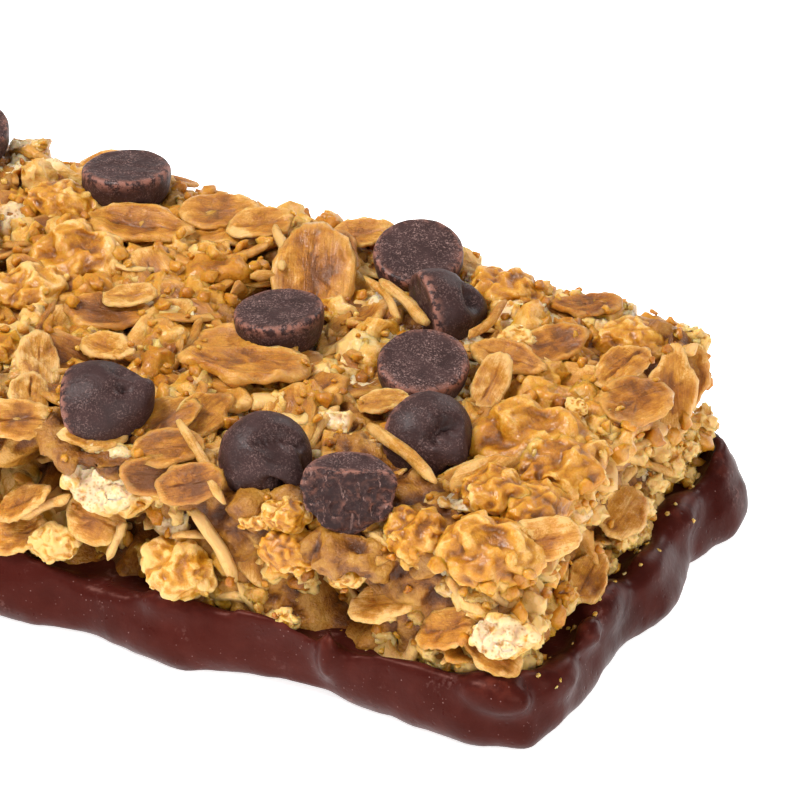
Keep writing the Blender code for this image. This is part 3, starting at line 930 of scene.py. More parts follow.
def granola_heart(finish):
    """The pressed mass under the oats: a smaller copy of the block, lumpy, and drawn up round the chips."""
    piece = merged_copy("granola_block", "granola_heart")
    mark(piece, lambda at: True)
    bpy.ops.transform.shrink_fatten(value=-0.8 * MM)
    close_up()
    dice = random.Random(3)
    blobs = []
    for centre, reach, level in CHIP_SPOTS:
        blobs.append((centre.x, centre.y, level - 2.0 * MM, 2.2))
        for turn in range(8):
            angle = math.tau * turn / 8 + dice.uniform(-0.2, 0.2)
            out = reach + dice.uniform(-0.3, 0.5) * MM
            x, y = centre.x + out * math.cos(angle), centre.y + out * math.sin(angle)
            blobs.append((x, y, level - dice.uniform(1.5, 2.0) * MM, dice.uniform(1.2, 1.7)))
    low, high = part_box("granola_block")
    inset = 2 * MM
    for count in range(150):
        x = dice.uniform(low.x + inset, high.x - inset)
        y = dice.uniform(low.y + inset, high.y - inset)
        if all(math.hypot(x - c.x, y - c.y) > reach + inset for c, reach, level in CHIP_SPOTS):
            blobs.append((x, y, dice.uniform(11.8, 13.0) * MM, dice.uniform(1.6, 2.6)))
    made = []
    for x, y, z, radius in blobs:
        size = (radius * dice.uniform(0.9, 1.4) * MM, radius * dice.uniform(0.8, 1.2) * MM, 0.8 * radius * MM)
        bpy.ops.mesh.primitive_ico_sphere_add(
            subdivisions=2, radius=1.0, location=(x, y, z), scale=size,
            rotation=(0, 0, dice.uniform(0, math.tau)),
        )
        made.append(bpy.context.object)
    join(piece, made)
    work(piece, "REMESH", mode="VOXEL", voxel_size=0.38 * MM)
    work(piece, "SMOOTH", factor=0.5, iterations=4)
    roughen(piece, SWELL, 1.0 * MM)
    roughen(piece, BUBBLES, 1.2 * MM)
    roughen(piece, KNOBS, 1.2 * MM)
    roughen(piece, RAGGED, 0.7 * MM, "RGB_TO_XYZ")
    points = places(piece.data)
    points[:, 2] = np.minimum(points[:, 2], ceiling(points[:, 0], points[:, 1]) - 1.2 * MM)
    for x, z, reach in GAPS:
        away = np.hypot(points[:, 0] - x * MM, points[:, 2] - z * MM) / (reach * MM)
        share = np.clip(1.6 - away, 0, 1) * (points[:, 1] < -11 * MM)
        points[:, 1] += GAP_DEPTH * share * share * (3 - 2 * share)
    low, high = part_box(BROKEN_CHIP)
    before = (points[:, 0] > low.x) & (points[:, 0] < high.x + 1.5 * MM) & (points[:, 1] < high.y - 1 * MM)
    points[before, 2] = np.minimum(points[before, 2], low.z + 0.5 * MM)
    piece.data.vertices.foreach_set("co", points.ravel())
    piece.data.update()
    note(piece.data, "dip", dips(piece.data))
    return stand_for(piece, "granola_block", finish)


# The chip's base as a share of its radius, then its half outline above: share of the radius out,
# share of the height up.
BASE_SHARE = 0.93
DROP_OUTLINE = (
    (0.985, 0.035),
    (1.0, 0.09),
    (0.995, 0.28),
    (0.94, 0.44),
    (0.82, 0.58),
    (0.66, 0.70),
    (0.51, 0.80),
    (0.38, 0.88),
    (0.27, 0.945),
    (0.15, 0.985),
    (0.05, 1.0),
)
# Dents and curls that single chips have: from the chip's middle, in its own directions, a place,
# a push and a reach.
CHIP_DENTS = {
    "chip_03": [((-2.0, 0.8, 0.9), (0.9, -0.5, -0.3), 1.0), ((0, 0, 2.7), (-0.5, 0.2, 0.0), 1.4)],
    "chip_04": [
        ((0.0, 0.0, 2.0), (1.3, 0.9, 0.0), 1.7),
        ((1.9, 0.6, 0.8), (-0.9, -0.4, -0.3), 0.9),
        ((-1.2, 0.0, 1.3), (0.3, 0.0, -0.6), 1.3),
    ],
    "chip_07": [((-1.4, -1.2, 0.9), (0.5, 0.4, -0.5), 1.2)],
    "chip_09": [((0.0, 0.0, 2.1), (0.8, 0.3, 0.1), 1.2), ((-0.9, -0.2, 1.5), (0.3, 0.0, -0.7), 1.1)],
    "chip_11": [((0.0, 0.0, 2.4), (0.6, 0.3, -0.2), 1.2)],
    "chip_13": [((0.0, 0.0, 2.0), (-0.6, 0.4, -0.2), 1.1)],
    "chip_17": [((0.0, 0.0, 2.5), (0.5, -0.5, 0.0), 1.2)],
}


# Curved grooves round a chip's tip: out from its axis, up from its middle, from and to angle, depth.
CHIP_GROOVES = {
    "chip_03": [(1.5, 1.0, 130, 230, 0.40)],
    "chip_04": [(1.7, 1.0, 110, 215, 0.45), (1.35, 1.25, -30, 60, 0.60)],
    "chip_07": [(1.9, 0.6, 150, 220, 0.30)],
    "chip_09": [(1.4, 1.1, 150, 240, 0.50), (1.2, 1.2, -10, 50, 0.40)],
    "chip_11": [(1.6, 1.0, 100, 200, 0.40)],
    "chip_17": [(1.5, 1.1, 120, 210, 0.40)],
}


def nearest(piece, spot):
    """The place of the vertex nearest to a spot."""
    return min(piece.data.vertices, key=lambda vert: (vert.co - spot).length).co.copy()


def chip(node, finish):
    """One chocolate chip, shaped like the CAD chip and lying in its place."""
    lean, heading, height = CHIP_LAY[node]
    height *= MM
    out, level = BASE_SHARE, 0.0
    bpy.ops.mesh.primitive_circle_add(vertices=44, radius=out * CHIP_RADIUS, fill_type="NGON")
    piece = bpy.context.object
    piece.name = node + "_drop"
    piece.data.name = piece.name
    open_up(piece)
    bpy.ops.transform.translate(value=(0, 0, -height / 2))
    for new_out, new_level in DROP_OUTLINE:
        bpy.ops.mesh.extrude_region_move(
            TRANSFORM_OT_translate={"value": (0, 0, (new_level - level) * height)}
        )
        share = new_out / out
        bpy.ops.transform.resize(value=(share, share, 1))
        out, level = new_out, new_level
    bpy.ops.mesh.poke()
    under = -height / 2 + 0.001 * MM
    choose(
        piece, "FACE", lambda face: len(face.verts) > 5 and face.calc_center_median().z < under
    )
    for thickness in (0.10, 0.25, 0.6, 0.7, 0.6):
        bpy.ops.mesh.inset(thickness=thickness * MM)
    bpy.ops.mesh.poke()
    bpy.ops.mesh.select_all(action="SELECT")
    bpy.ops.mesh.normals_make_consistent(inside=False)
    close_up()
    work(piece, "SUBSURF", levels=1, render_levels=1)
    for place, push, reach in CHIP_DENTS.get(node, []):
        near = nearest(piece, Vector(place) * MM)
        nudge(piece, lambda at: (at - near).length < 0.25 * MM, Vector(push) * MM, reach * MM)
    for out, up, start, end, depth in CHIP_GROOVES.get(node, []):
        for step in range(7):
            angle = math.radians(start + (end - start) * step / 6)
            way = Vector((math.cos(angle), math.sin(angle), 0))
            near = nearest(piece, (way * out + Vector((0, 0, up))) * MM)
            push = (way + Vector((0, 0, 0.7))) * -depth * MM
            nudge(piece, lambda at: (at - near).length < 0.12 * MM, push, 0.55 * MM)
    lay = Matrix.Rotation(math.radians(heading), 4, "Z") @ Matrix.Rotation(math.radians(lean), 4, "Y")
    snapped = break_chip(piece, lay) if node == BROKEN_CHIP else None
    wear(piece, height, snapped)
    piece.data.transform(lay)
    seat(piece, node)
    roughen(piece, SWELL, 0.22 * MM)
    roughen(piece, KNOBS, 0.12 * MM)
    return stand_for(piece, node, finish)


def wear(piece, height, snapped):
    """Notes where a chip is rubbed along its base rim, and where it is broken."""
    points = places(piece.data)
    out = np.hypot(points[:, 0], points[:, 1]) - CHIP_RADIUS
    level = points[:, 2] + height / 2 - 0.1 * MM
    rubbed = np.exp(-((out / (0.35 * MM)) ** 2 + (level / (0.4 * MM)) ** 2))
    fracture = np.zeros(len(points))
    if snapped is not None:
        depth = points @ np.array(snapped) - BREAK_DEPTH
        fracture = np.clip(1 + depth / (0.35 * MM), 0, 1)
        facing = np.abs(np.array([vert.normal for vert in piece.data.vertices]) @ np.array(snapped))
        border = np.clip(1.6 + depth / (0.35 * MM), 0, 1) * np.clip(1.9 - 1.9 * facing, 0, 1)
        rubbed = np.maximum(rubbed, border)
    base = np.clip(1 - level / (0.15 * MM), 0, 1) * (out < -0.1 * MM)
    note(piece.data, "edge", rubbed)
    note(piece.data, "base", base)
    note(piece.data, "fracture", fracture)


def break_chip(piece, lay):
    """Snaps the near side off a chip, leaving a rough fracture, and returns the way it faces."""
    normal = (lay.to_3x3().inverted() @ Vector(BREAK_NORMAL)).normalized()
    cut_off(piece, normal * BREAK_DEPTH, normal)
    work(piece, "REMESH", mode="VOXEL", voxel_size=0.14 * MM)
    group = piece.vertex_groups.new(name="fracture")
    for vert in piece.data.vertices:
        near = vert.co.dot(normal) - BREAK_DEPTH
        group.add([vert.index], held(1 + near / (0.3 * MM), 0.0, 1.0), "REPLACE")
    roughen(piece, LUMPS, 1.1 * MM, vertex_group="fracture")
    roughen(piece, KNOBS, 0.8 * MM, vertex_group="fracture")
    piece.vertex_groups.clear()
    return normal


def seat(piece, node):
    """Slides a chip so that its box has the middle of its CAD node's box."""
    low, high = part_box(node)
    points = places(piece.data)
    shift = (low + high) / 2 - Vector((points.min(0) + points.max(0)) / 2)
    piece.data.transform(Matrix.Translation(shift))


# ---------------------------------------------------------------- laying the granola


def lay_pose(place, up, spin, tilt, tilt_way, size):
    """A pose with the shape's Z along a tilted up direction, and its length spun round it."""
    up = up.normalized()
    side = up.orthogonal().normalized()
    lean_axis = Matrix.Rotation(tilt_way, 3, up) @ side
    up = Matrix.Rotation(tilt, 3, lean_axis) @ up
    turn = up.to_track_quat("Z", "X").to_matrix()
    turn = turn @ Matrix.Rotation(spin, 3, "Z")
    return Matrix.Translation(place) @ turn.to_4x4() @ Matrix.Scale(size, 4)


class Surface:
    """The outside of one or more pieces, for finding where something lands."""

    def __init__(self, pieces):
        depsgraph = bpy.context.evaluated_depsgraph_get()
        self.trees = [BVHTree.FromObject(piece, depsgraph) for piece in pieces]

    def land(self, start, way):
        hits = [tree.ray_cast(start, way) for tree in self.trees]
        hits = [hit for hit in hits if hit[0] is not None]
        if not hits:
            return None, None
        place, normal, index, distance = min(hits, key=lambda hit: hit[3])
        return place, normal


def scattered(dice, count, width, height, spacing):
    """Random places in a rectangle about the origin, no two nearer than the spacing."""
    kept = []
    grid = {}
    for attempt in range(count):
        x, y = dice.uniform(-width / 2, width / 2), dice.uniform(-height / 2, height / 2)
        cell = (int(x // spacing), int(y // spacing))
        near = [
            other
            for i in (-1, 0, 1)
            for j in (-1, 0, 1)
            for other in grid.get((cell[0] + i, cell[1] + j), [])
        ]
        if all(math.hypot(x - a, y - b) >= spacing for a, b in near):
            grid.setdefault(cell, []).append((x, y))
            kept.append((x, y))
    return kept


def ceiling(x, y):
    """How high granola may stand: lower along the long edges, and most so at the back right."""
    edge = np.clip((np.abs(y) - 12.5 * MM) / (4.0 * MM), 0, 1)
    right = np.clip((x - 24 * MM) / (6 * MM), 0, 1) * (y > 0)
    corner = np.maximum(x - 38 * MM, 0) * edge * (y > 0)
    return 16.7 * MM - edge * (1.5 + 1.4 * right) * MM - 0.3 * corner


CHIP_SPOTS = []
PICKED_SPOTS = []
# Dark gaps between the pieces on the front cut face: x, z and reach.
GAP_DEPTH = 3.6 * MM
GAPS = (
    (6.5, 8.6, 1.6),
    (9.9, 10.4, 1.7),
    (13.1, 6.3, 1.9),
    (17.2, 6.4, 2.0),
    (30.8, 6.6, 1.9),
    (-7.0, 9.4, 1.8),
)


def in_the_clear(mould, pose):
    """Whether a copy of a mould, laid in this pose, leaves the chips and the picked pieces in view."""
    at = pose.translation
    points = mould.points @ np.array(pose.to_3x3()).T + np.array(at)
    if np.any(np.abs(points[:, :2]) > np.array((44.9 * MM, 17.8 * MM))):
        return False
    if np.any(points[:, 2] > ceiling(points[:, 0], points[:, 1])):
        return False
    low = points[points[:, 2] < 5.6 * MM]
    if np.any(np.abs(low[:, :2]) > np.array((44.3 * MM, 16.9 * MM))):
        return False
    for centre, reach, level in CHIP_SPOTS:
        if (at - centre).length > reach + 9 * MM:
            continue
        out = np.hypot(points[:, 0] - centre.x, points[:, 1] - centre.y) - reach
        if np.any((out < 3.5 * MM) & (points[:, 2] > level + 0.6 * np.maximum(out, 0.0))):
            return False
    for x, z, reach in GAPS:
        near = np.hypot(points[:, 0] - x * MM, points[:, 2] - z * MM) < reach * MM
        if np.any(near & (points[:, 1] < -14.0 * MM)):
            return False
    for centre, normal, reach in PICKED_SPOTS:
        if (at - centre).length > reach + 6 * MM:
            continue
        offset = points - np.array(centre)
        above = offset @ np.array(normal)
        out = np.linalg.norm(offset - above[:, None] * np.array(normal), axis=1)
        if np.any((out < reach) & (above > 0.25 * MM)):
            return False
    return True


# What is scattered over the top and over the cut faces, from the lowest layer up: the shape, how
# far apart, how far out of the surface, the smallest and largest size, and the most tilt.
TOP_PLAN = (
    ("crisp", 3.6, 0.4, 0.75, 0.95, 22),
    ("crumble", 2.6, 0.7, 0.7, 1.1, 40),
    ("flake", 3.0, 0.35, 0.75, 1.0, 24),
    ("shard", 2.6, 0.8, 0.7, 1.05, 38),
    ("flake", 5.0, 1.1, 0.8, 1.0, 26),
    ("strand", 8.5, 1.3, 0.7, 1.1, 20),
)
SIDE_PLAN = (
    ("crisp", 3.6, -0.7, 0.6, 0.9, 40),
    ("flake", 3.0, -1.6, 0.6, 0.95, 26),
    ("shard", 2.6, -0.4, 0.6, 0.95, 60),
    ("crumble", 1.8, -0.2, 0.45, 0.9, 90),
    ("strand", 8.0, 0.2, 0.6, 1.0, 30),
)
DOWN = Vector((0, 0, -1))
# Where a ray starts from, above the bar or out from its middle.
WELL_ABOVE = 0.05
WELL_OUT = 0.08


def top_layers(surface, moulds, dice):
    """Oats, shards and crisps lying on the top, in two layers."""
    low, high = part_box("granola_block")
    length, width = high.x - low.x - 1.5 * MM, high.y - low.y - 1.5 * MM
    layers = {"flake": [], "shard": [], "crisp": [], "crumble": [], "strand": []}
    for kind, spacing, lift, smallest, largest, most_tilt in TOP_PLAN:
        for x, y in scattered(dice, 4000, length, width, spacing * MM):
            place, normal = surface.land(Vector((x, y, WELL_ABOVE)), DOWN)
            if place is None or place.z < 9 * MM:
                continue
            mould = dice.choice(moulds[kind])
            size = dice.uniform(smallest, largest)
            up = (normal + Vector((0, 0, 1.2))).normalized()
            tilt = math.radians(abs(dice.gauss(0, 0.55)) * most_tilt)
            place = place + up * lift * MM * dice.uniform(0.5, 1.1)
            pose = lay_pose(place, up, dice.uniform(0, math.tau), tilt, dice.uniform(0, math.tau), size)
            if not in_the_clear(mould, pose):
                continue
            # Pieces at the back right get darker tones: painted shade for the shadowed gaps among them.
            painted_shade_back_right = 0.14 if x > 26 * MM and y > -4 * MM else 0.0
            tone = toned(dice, 0.49 + painted_shade_back_right, 0.20, 0.05, 0.95)
            layers[kind].append((mould, pose, tone))
    return layers


def walls():
    """The four cut faces: the way each faces, the way along it, and its run."""
    low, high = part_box("granola_block")
    for outward, run in (
        (Vector((0, -1, 0)), high.x - low.x),
        (Vector((0, 1, 0)), high.x - low.x),
        (Vector((1, 0, 0)), high.y - low.y),
        (Vector((-1, 0, 0)), high.y - low.y),
    ):
        yield outward, Vector((-outward.y, outward.x, 0)), run


def side_layers(surface, moulds, dice):
    """Broken crisps, flakes seen on edge, shards and strands on the cut faces."""
    layers = {"flake": [], "shard": [], "crisp": [], "crumble": [], "strand": []}
    for outward, along, run in walls():
        for kind, spacing, lift, smallest, largest, most_tilt in SIDE_PLAN:
            for s, t in scattered(dice, 4000, run - 2 * MM, 10.5 * MM, spacing * MM):
                start = along * s + Vector((0, 0, 9.6 * MM + t)) + outward * WELL_OUT
                place, normal = surface.land(start, -outward)
                if place is None:
                    continue
                mould = dice.choice(moulds[kind])
                size = dice.uniform(smallest, largest)
                place = place + outward * lift * MM
                flat = kind == "shard" and dice.random() < 0.6
                up = outward if flat or kind == "crisp" else Vector((0, 0, 1)) + outward * 0.3
                tilt = math.radians(dice.gauss(0, 0.6) * most_tilt)
                pose = lay_pose(place, up, dice.uniform(0, math.tau), tilt, dice.uniform(0, math.tau), size)
                if not in_the_clear(mould, pose):
                    continue
                layers[kind].append((mould, pose, toned(dice, 0.26, 0.17, 0.0, 0.85)))
    return layers


def crumbs_everywhere(surface, chocolate, moulds, dice):
    """Crumbs caught all over the top and the cut faces, and a few on the chocolate at the right end."""
    low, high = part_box("granola_block")
    layings = []

    def drop(place, normal, tone_middle):
        mould = dice.choice(moulds["crumb"])
        size = 0.35 + 0.9 * dice.random() ** 1.8
        place = place + normal * dice.uniform(0.0, 0.25) * MM
        spin, tilt, tilt_way = dice.uniform(0, math.tau), dice.uniform(0, 0.8), dice.uniform(0, 6)
        pose = lay_pose(place, normal, spin, tilt, tilt_way, size)
        if in_the_clear(mould, pose):
            layings.append((mould, pose, toned(dice, tone_middle, 0.16, 0.0, 0.9)))

    for x, y in scattered(dice, 6000, high.x - low.x, high.y - low.y, 1.15 * MM):
        place, normal = surface.land(Vector((x, y, WELL_ABOVE)), DOWN)
        if place is not None and place.z > 9 * MM:
            drop(place, normal, 0.38)
    for outward, along, run in walls():
        for s, t in scattered(dice, 2500, run, 11 * MM, 1.2 * MM):
            start = along * s + Vector((0, 0, 9.3 * MM + t)) + outward * WELL_OUT
            place, normal = surface.land(start, -outward)
            if place is not None:
                drop(place, normal, 0.28)
    for count in range(36):
        x, y = dice.uniform(43.5, 46.3) * MM, dice.uniform(-15.0, 13.0) * MM
        place, normal = chocolate.land(Vector((x, y, WELL_ABOVE)), DOWN)
        if place is not None and place.z > 3.5 * MM:
            pose = lay_pose(place, normal, dice.uniform(0, math.tau), 0.0, 0.0, dice.uniform(0.15, 0.40))
            layings.append((dice.choice(moulds["crumb"]), pose, 0.0))
    return layings


# Pieces laid one by one: x, y, z; heading; nose up; roll towards the front; length; tone; which shape.
PICKED_FLAKES = (
    (4.0, 8.7, 15.0, 4, 4, 10, 8.2, 0.42, 0),
    (8.3, 12.2, 15.5, 17, 6, 12, 5.6, 0.46, 1),
    (11.9, 11.6, 15.8, 30, 4, 14, 4.8, 0.30, 5),
    (9.8, 11.5, 14.9, 25, 0, 8, 6.8, 0.40, 2),
    (17.7, 7.6, 15.7, 111, 32, 8, 7.6, 0.50, 3),
    (17.5, 11.0, 15.5, -27, 5, 15, 5.5, 0.72, 4),
    (18.1, 13.8, 15.4, 20, 10, 10, 4.8, 0.35, 5),
    (19.1, -4.8, 15.6, 15, 3, 4, 9.0, 0.46, 6),
    (17.4, -2.4, 14.9, 8, 3, 14, 8.4, 0.42, 7),
    (7.5, -2.1, 15.1, 20, 3, 8, 6.2, 0.70, 8),
    (8.3, -0.7, 15.8, 24, 0, 10, 3.8, 0.20, 9),
    (9.7, -6.3, 15.3, -21, 12, 18, 5.2, 0.22, 0),
    (6.5, -9.7, 15.3, 116, 18, 25, 5.0, 0.14, 1),
    (7.9, -13.6, 15.0, 111, 22, 25, 4.6, 0.15, 2),
    (17.1, -12.5, 15.4, 44, 20, 15, 5.0, 0.50, 3),
    (19.1, -10.8, 15.4, 70, 15, 25, 5.0, 0.42, 4),
    (8.0, -15.6, 14.6, 26, 0, 35, 4.8, 0.35, 5),
    (13.6, -15.4, 14.9, 28, 0, 45, 4.6, 0.20, 6),
    (18.7, -14.8, 15.0, 30, 5, 25, 4.8, 0.60, 7),
    (18.4, -16.4, 13.7, 20, 0, 55, 4.6, 0.72, 8),
    (21.0, -16.5, 13.8, 30, 10, 50, 4.6, 0.66, 9),
    (33.9, 3.4, 15.6, -6, 0, 18, 5.8, 0.42, 0),
    (35.7, 6.4, 15.6, 40, 10, 20, 5.0, 0.52, 1),
    (41.0, 5.8, 15.7, 73, 10, 10, 4.8, 0.34, 2),
    (43.2, 3.2, 15.2, 60, 0, 25, 5.4, 0.52, 3),
    (42.9, 9.6, 12.4, 116, 72, 0, 5.8, 0.32, 4),
    (43.2, 12.0, 12.0, 100, 75, 10, 4.8, 0.42, 6),
    (35.1, 13.2, 14.6, 10, 12, 10, 5.2, 0.70, 6),
    (28.8, -4.4, 15.4, 20, 10, 15, 3.6, 0.28, 7),
    (30.0, -1.2, 15.1, 60, 25, 15, 4.0, 0.75, 8),
    (34.2, 0.4, 15.5, 80, 40, 10, 4.2, 0.22, 9),
    (8.6, -16.0, 8.6, 0, 36, 35, 5.2, 0.28, 0),
    (8.2, -16.1, 6.2, 0, 24, 30, 5.0, 0.34, 1),
    (13.6, -15.7, 8.6, 0, -8, 60, 4.4, 0.28, 3),
    (34.1, -16.0, 8.2, 0, 20, 30, 4.8, 0.24, 4),
    (38.9, -16.0, 7.8, 0, 25, 35, 5.0, 0.40, 5),
    (42.0, -16.0, 6.8, 0, -20, 40, 4.6, 0.34, 6),
    (43.6, 0.8, 8.2, 90, 10, 30, 4.8, 0.20, 7),
    (43.6, -5.0, 6.4, 90, 20, 25, 4.6, 0.40, 8),
    (43.8, -12.6, 13.8, 40, 0, 40, 5.0, 0.25, 9),
)
PICKED_CRISPS = (
    (1.9, 4.1, 14.8, 10, 0, 10, 7.5, 0.38, 0),
    (1.2, -1.4, 14.6, 60, 0, 0, 6.0, 0.30, 2),
    (-2.0, 9.2, 14.8, 0, 0, 0, 5.8, 0.40, 4),
    (15.3, -15.9, 12.5, 10, 0, 62, 7.4, 0.15, 1),
    (25.3, -16.1, 12.4, 0, 0, 0, 2.4, 0.30, 0),
    (27.5, -16.0, 13.2, 40, 0, 0, 3.2, 0.35, 2),
    (28.2, -16.6, 10.9, 0, 0, 30, 4.6, 0.45, 4),
    (31.9, -16.2, 10.2, 10, 0, 0, 2.8, 0.20, 6),
    (10.9, -16.4, 6.3, 0, 0, 50, 3.8, 0.05, 4),
    (19.8, -16.5, 7.2, 10, 0, 40, 5.2, 0.12, 2),
    (29.4, 12.4, 14.6, 0, 0, -10, 5.6, 0.45, 2),
    (39.3, 11.4, 13.9, 20, 0, 0, 5.6, 0.45, 4),
    (38.2, -3.2, 14.5, 20, 0, 5, 8.8, 0.50, 0),
    (41.4, -5.2, 14.3, 60, 0, 0, 6.4, 0.48, 6),
    (36.0, -14.6, 13.2, 0, 0, 20, 5.0, 0.40, 2),
    (40.6, -14.5, 13.6, 20, 0, 20, 7.0, 0.45, 0),
    (42.2, -9.8, 14.1, 70, 0, 0, 5.8, 0.55, 4),
    (39.2, -9.9, 14.8, 0, 0, 0, 5.0, 0.45, 6),
    (43.0, -16.4, 8.8, 20, 0, 70, 4.6, 0.10, 1),
    (33.2, 5.8, 15.6, 30, 0, 0, 2.9, 0.05, 0),
    (40.3, 0.0, 15.7, 0, 0, 0, 1.7, 0.05, 2),
)
PICKED_STRANDS = (
    (14.5, 8.9, 16.0, -59, 4, 0, 6.4, 0.02, 0),
    (23.2, 6.7, 15.7, -42, 0, 0, 6.0, 0.30, 1),
    (25.0, 6.2, 16.1, -34, 0, 0, 6.1, 0.25, 2),
    (31.0, 6.5, 16.1, -93, 0, 0, 5.2, 0.55, 3),
    (32.7, -10.0, 15.8, -32, 0, 0, 8.0, 0.28, 4),
    (21.0, -14.9, 14.6, -37, -20, 0, 7.2, 0.28, 5),
    (15.5, -16.4, 7.9, 0, 66, 0, 3.4, 0.15, 1),
    (22.6, -16.3, 9.6, 0, -58, 0, 5.6, 0.10, 4),
    (10.2, -16.0, 8.8, 0, 38, 0, 4.6, 0.25, 0),
)


def picked(table, kind, moulds):
    """The layings of a table of pieces laid one by one."""
    layings = []
    for x, y, z, heading, nose, roll, length, tone, shape in table:
        mould = moulds[kind][shape % len(moulds[kind])]
        size = length * MM / mould.size[0]
        stretch = Matrix.Diagonal((size, 1.0, 1.0) if kind == "strand" else (size, size, size))
        turn = (
            Matrix.Rotation(math.radians(heading), 3, "Z")
            @ Matrix.Rotation(math.radians(-nose), 3, "Y")
            @ Matrix.Rotation(math.radians(roll), 3, "X")
        )
        place = Vector((x, y, z)) * MM
        layings.append((mould, Matrix.Translation(place) @ (turn @ stretch).to_4x4(), tone))
        reach = 0.28 * length * MM
        normal = turn @ Vector((0, 0, 1)) if kind != "strand" else Vector((0, 0, 1))
        PICKED_SPOTS.append((place, normal, reach))
    return layings


def crumbled_foot(moulds, dice):
    """Small broken crisps along the foot of the right end and of the front, down on the chocolate."""
    layings = []
    right, front = Vector((1, 0, 0)), Vector((0, -1, 0))
    for s, t in scattered(dice, 3000, 29 * MM, 3.6 * MM, 1.7 * MM):
        place = Vector((43.5 * MM + dice.uniform(-0.5, 0.4) * MM, s, 5.8 * MM + t))
        layings.append((place, right))
    for s, t in scattered(dice, 3000, 82 * MM, 2.4 * MM, 2.6 * MM):
        layings.append((Vector((s, -16.1 * MM + dice.uniform(-0.3, 0.4) * MM, 6.0 * MM + t)), front))
    rubble = []
    for place, outward in layings:
        mould = dice.choice(moulds["fine_crumble"])
        spin, tilt, tilt_way = dice.uniform(0, math.tau), dice.uniform(0, 1.2), dice.uniform(0, math.tau)
        pose = lay_pose(place, outward, spin, tilt, tilt_way, dice.uniform(0.40, 0.85))
        tone = toned(dice, 0.24, 0.16, 0.0, 0.7)
        if in_the_clear(mould, pose):
            rubble.append((mould, pose, tone))
    return rubble


def nestled(moulds, dice):
    """Shards, crisps and flakes pressed up against the sides of the chips."""
    layers = {"flake": [], "shard": [], "crisp": []}
    for centre, reach, level in CHIP_SPOTS:
        for turn in range(16):
            kind = dice.choice(("flake", "shard", "shard", "crisp", "crisp"))
            mould = dice.choice(moulds[kind])
            size = dice.uniform(0.5, 0.85)
            angle = math.tau * (turn + dice.uniform(-0.4, 0.4)) / 16
            way = Vector((math.cos(angle), math.sin(angle), 0))
            tone = toned(dice, 0.42, 0.15, 0.05, 0.9)
            spin, tilt = dice.uniform(0, math.tau), math.radians(dice.uniform(0, 25))
            tilt_way = dice.uniform(0, math.tau)
            out = reach + dice.uniform(0.2, 2.0) * MM
            for lower in range(5):
                place = Vector((centre.x, centre.y, level - (0.3 + 0.3 * lower) * MM)) + way * out
                pose = lay_pose(place, way * 0.15 + Vector((0, 0, 1)), spin, tilt, tilt_way, size)
                if in_the_clear(mould, pose):
                    layers[kind].append((mould, pose, tone))
                    break
    return layers


def keep(piece, slot="toasted_oats"):
    """Fixes a loose piece to the bar."""
    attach(piece, "root")
    return piece


# ---------------------------------------------------------------- studio


# Where the camera stands and what it takes in, and each lamp: name, place, size and power.
VIEW_AZIMUTH = 26.0
VIEW_ELEVATION = 32.0
VIEW_DISTANCE = 0.45
VIEW_AIM = (24.5, 6.8, 8.0)
VIEW_WIDTH = 53.0 * MM
FILM_WIDTH = 36.0
LAMPS = (
    ("key_lamp", (-0.38, -0.28, 0.70), 0.32, 8.4),
    ("fill_lamp", (0.65, -0.55, 0.45), 0.50, 4.2),
    ("rim_lamp", (0.15, 0.75, 0.50), 0.45, 2.6),
)
AIR_LIGHT = 0.40


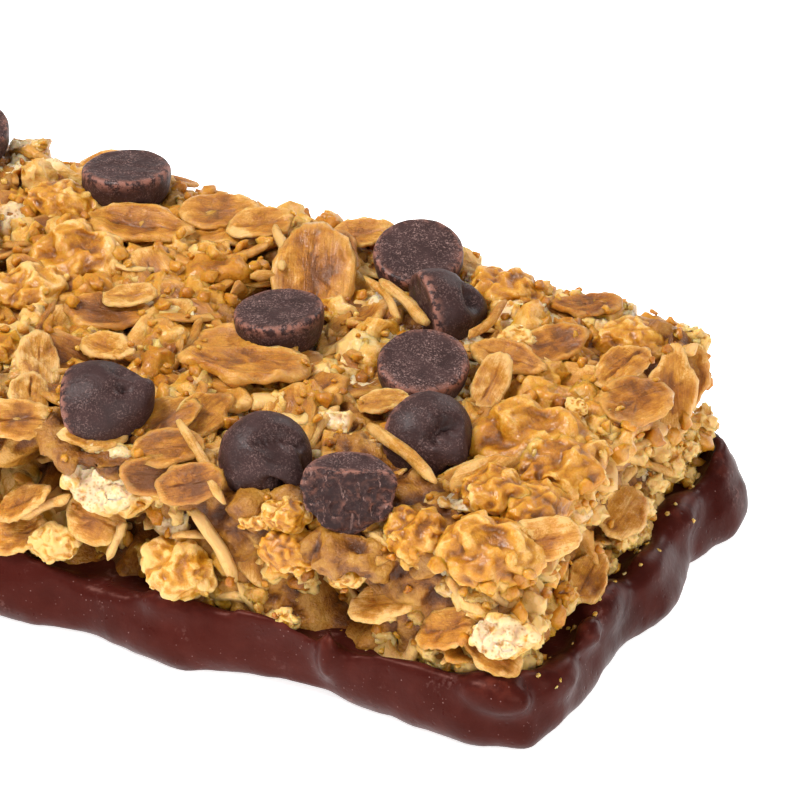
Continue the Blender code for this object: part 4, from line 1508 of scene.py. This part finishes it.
def studio():
    """A plain pale floor, soft white lamps and the camera."""
    bpy.ops.mesh.primitive_plane_add(size=4.0, location=(0, 0, 0))
    floor = bpy.context.object
    floor.name = "floor"
    pale = Finish("pale_floor")
    tint = pale.ramp(pale.noise(0.2, 2.0), [(0.3, (0.90, 0.90, 0.90)), (0.7, (0.92, 0.92, 0.92))])
    pale.set(Base_Color=tint, Roughness=0.8, Emission_Color=(1, 1, 1, 1), Emission_Strength=0.75)
    floor.data.materials.append(pale.material)

    world = bpy.data.worlds.new("studio_air")
    bpy.context.scene.world = world
    world.use_nodes = True
    air = world.node_tree.nodes["Background"]
    air.inputs["Color"].default_value = (1.0, 1.0, 1.0, 1.0)
    air.inputs["Strength"].default_value = AIR_LIGHT

    for name, place, size, power in LAMPS:
        lamp(name, place, size, power)

    azimuth, elevation = math.radians(VIEW_AZIMUTH), math.radians(VIEW_ELEVATION)
    back = Vector(
        (
            math.sin(azimuth) * math.cos(elevation),
            -math.cos(azimuth) * math.cos(elevation),
            math.sin(elevation),
        )
    )
    bpy.ops.object.camera_add(location=Vector(VIEW_AIM) * MM + back * VIEW_DISTANCE)
    camera = bpy.context.object
    camera.rotation_euler = (-back).to_track_quat("-Z", "Y").to_euler()
    camera.data.sensor_width = FILM_WIDTH
    camera.data.lens = FILM_WIDTH * VIEW_DISTANCE / VIEW_WIDTH
    camera.data.clip_start = 0.01
    camera.data.clip_end = 10.0
    bpy.context.scene.camera = camera
    bpy.context.scene.view_settings.view_transform = "Standard"


def lamp(name, place, size, power):
    """A square soft box that faces the bar."""
    bpy.ops.object.light_add(type="AREA", location=place)
    light = bpy.context.object
    light.name = name
    light.data.size = size
    light.data.energy = power
    light.rotation_euler = (-Vector(place)).to_track_quat("-Z", "Y").to_euler()


# ---------------------------------------------------------------- putting the bar together


studio()
oats, crisps, heart_mix = rolled_oat(), puffed_crisp(), pressed_granola()
chips_finish = chip_chocolate()
dip = chocolate_dip(dipped_chocolate())
for node in sorted(CHIP_LAY):
    chip(node, chips_finish)
    low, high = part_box(node)
    reach = 0.25 * (high.x - low.x + high.y - low.y)
    sunk = 0.15 if node == BROKEN_CHIP else 0.48
    CHIP_SPOTS.append(((low + high) / 2, reach, low.z + sunk * (high.z - low.z)))
heart = granola_heart(heart_mix)

moulds = make_moulds()
surface = Surface([heart])
dice = random.Random(5)
picked_flakes = picked(PICKED_FLAKES, "fine_flake", moulds)
picked_crisps = picked(PICKED_CRISPS, "fine_crisp", moulds)
picked_strands = picked(PICKED_STRANDS, "strand", moulds)
rubble = crumbled_foot(moulds, dice)
close = nestled(moulds, dice)
top = top_layers(surface, moulds, dice)
sides = side_layers(surface, moulds, dice)
laid = [
    keep(lay_out("picked_flakes", picked_flakes, oats)),
    keep(lay_out("picked_crisps", picked_crisps + rubble, crisps)),
    keep(lay_out("oat_flakes_on_top", top["flake"] + close["flake"], oats)),
    keep(lay_out("oat_shards_on_top", top["shard"] + close["shard"], oats)),
    keep(lay_out("bran_strands", picked_strands + top["strand"] + sides["strand"], oats)),
    keep(lay_out("crisps_on_top", top["crisp"] + top["crumble"] + close["crisp"], crisps)),
    keep(lay_out("oat_flakes_on_sides", sides["flake"] + sides["shard"], oats)),
    keep(lay_out("crisps_on_sides", sides["crisp"] + sides["crumble"], crisps)),
]
loose = crumbs_everywhere(Surface([heart] + laid), Surface([dip]), moulds, dice)
keep(lay_out("crumbs", loose, crisps, jagged=True))
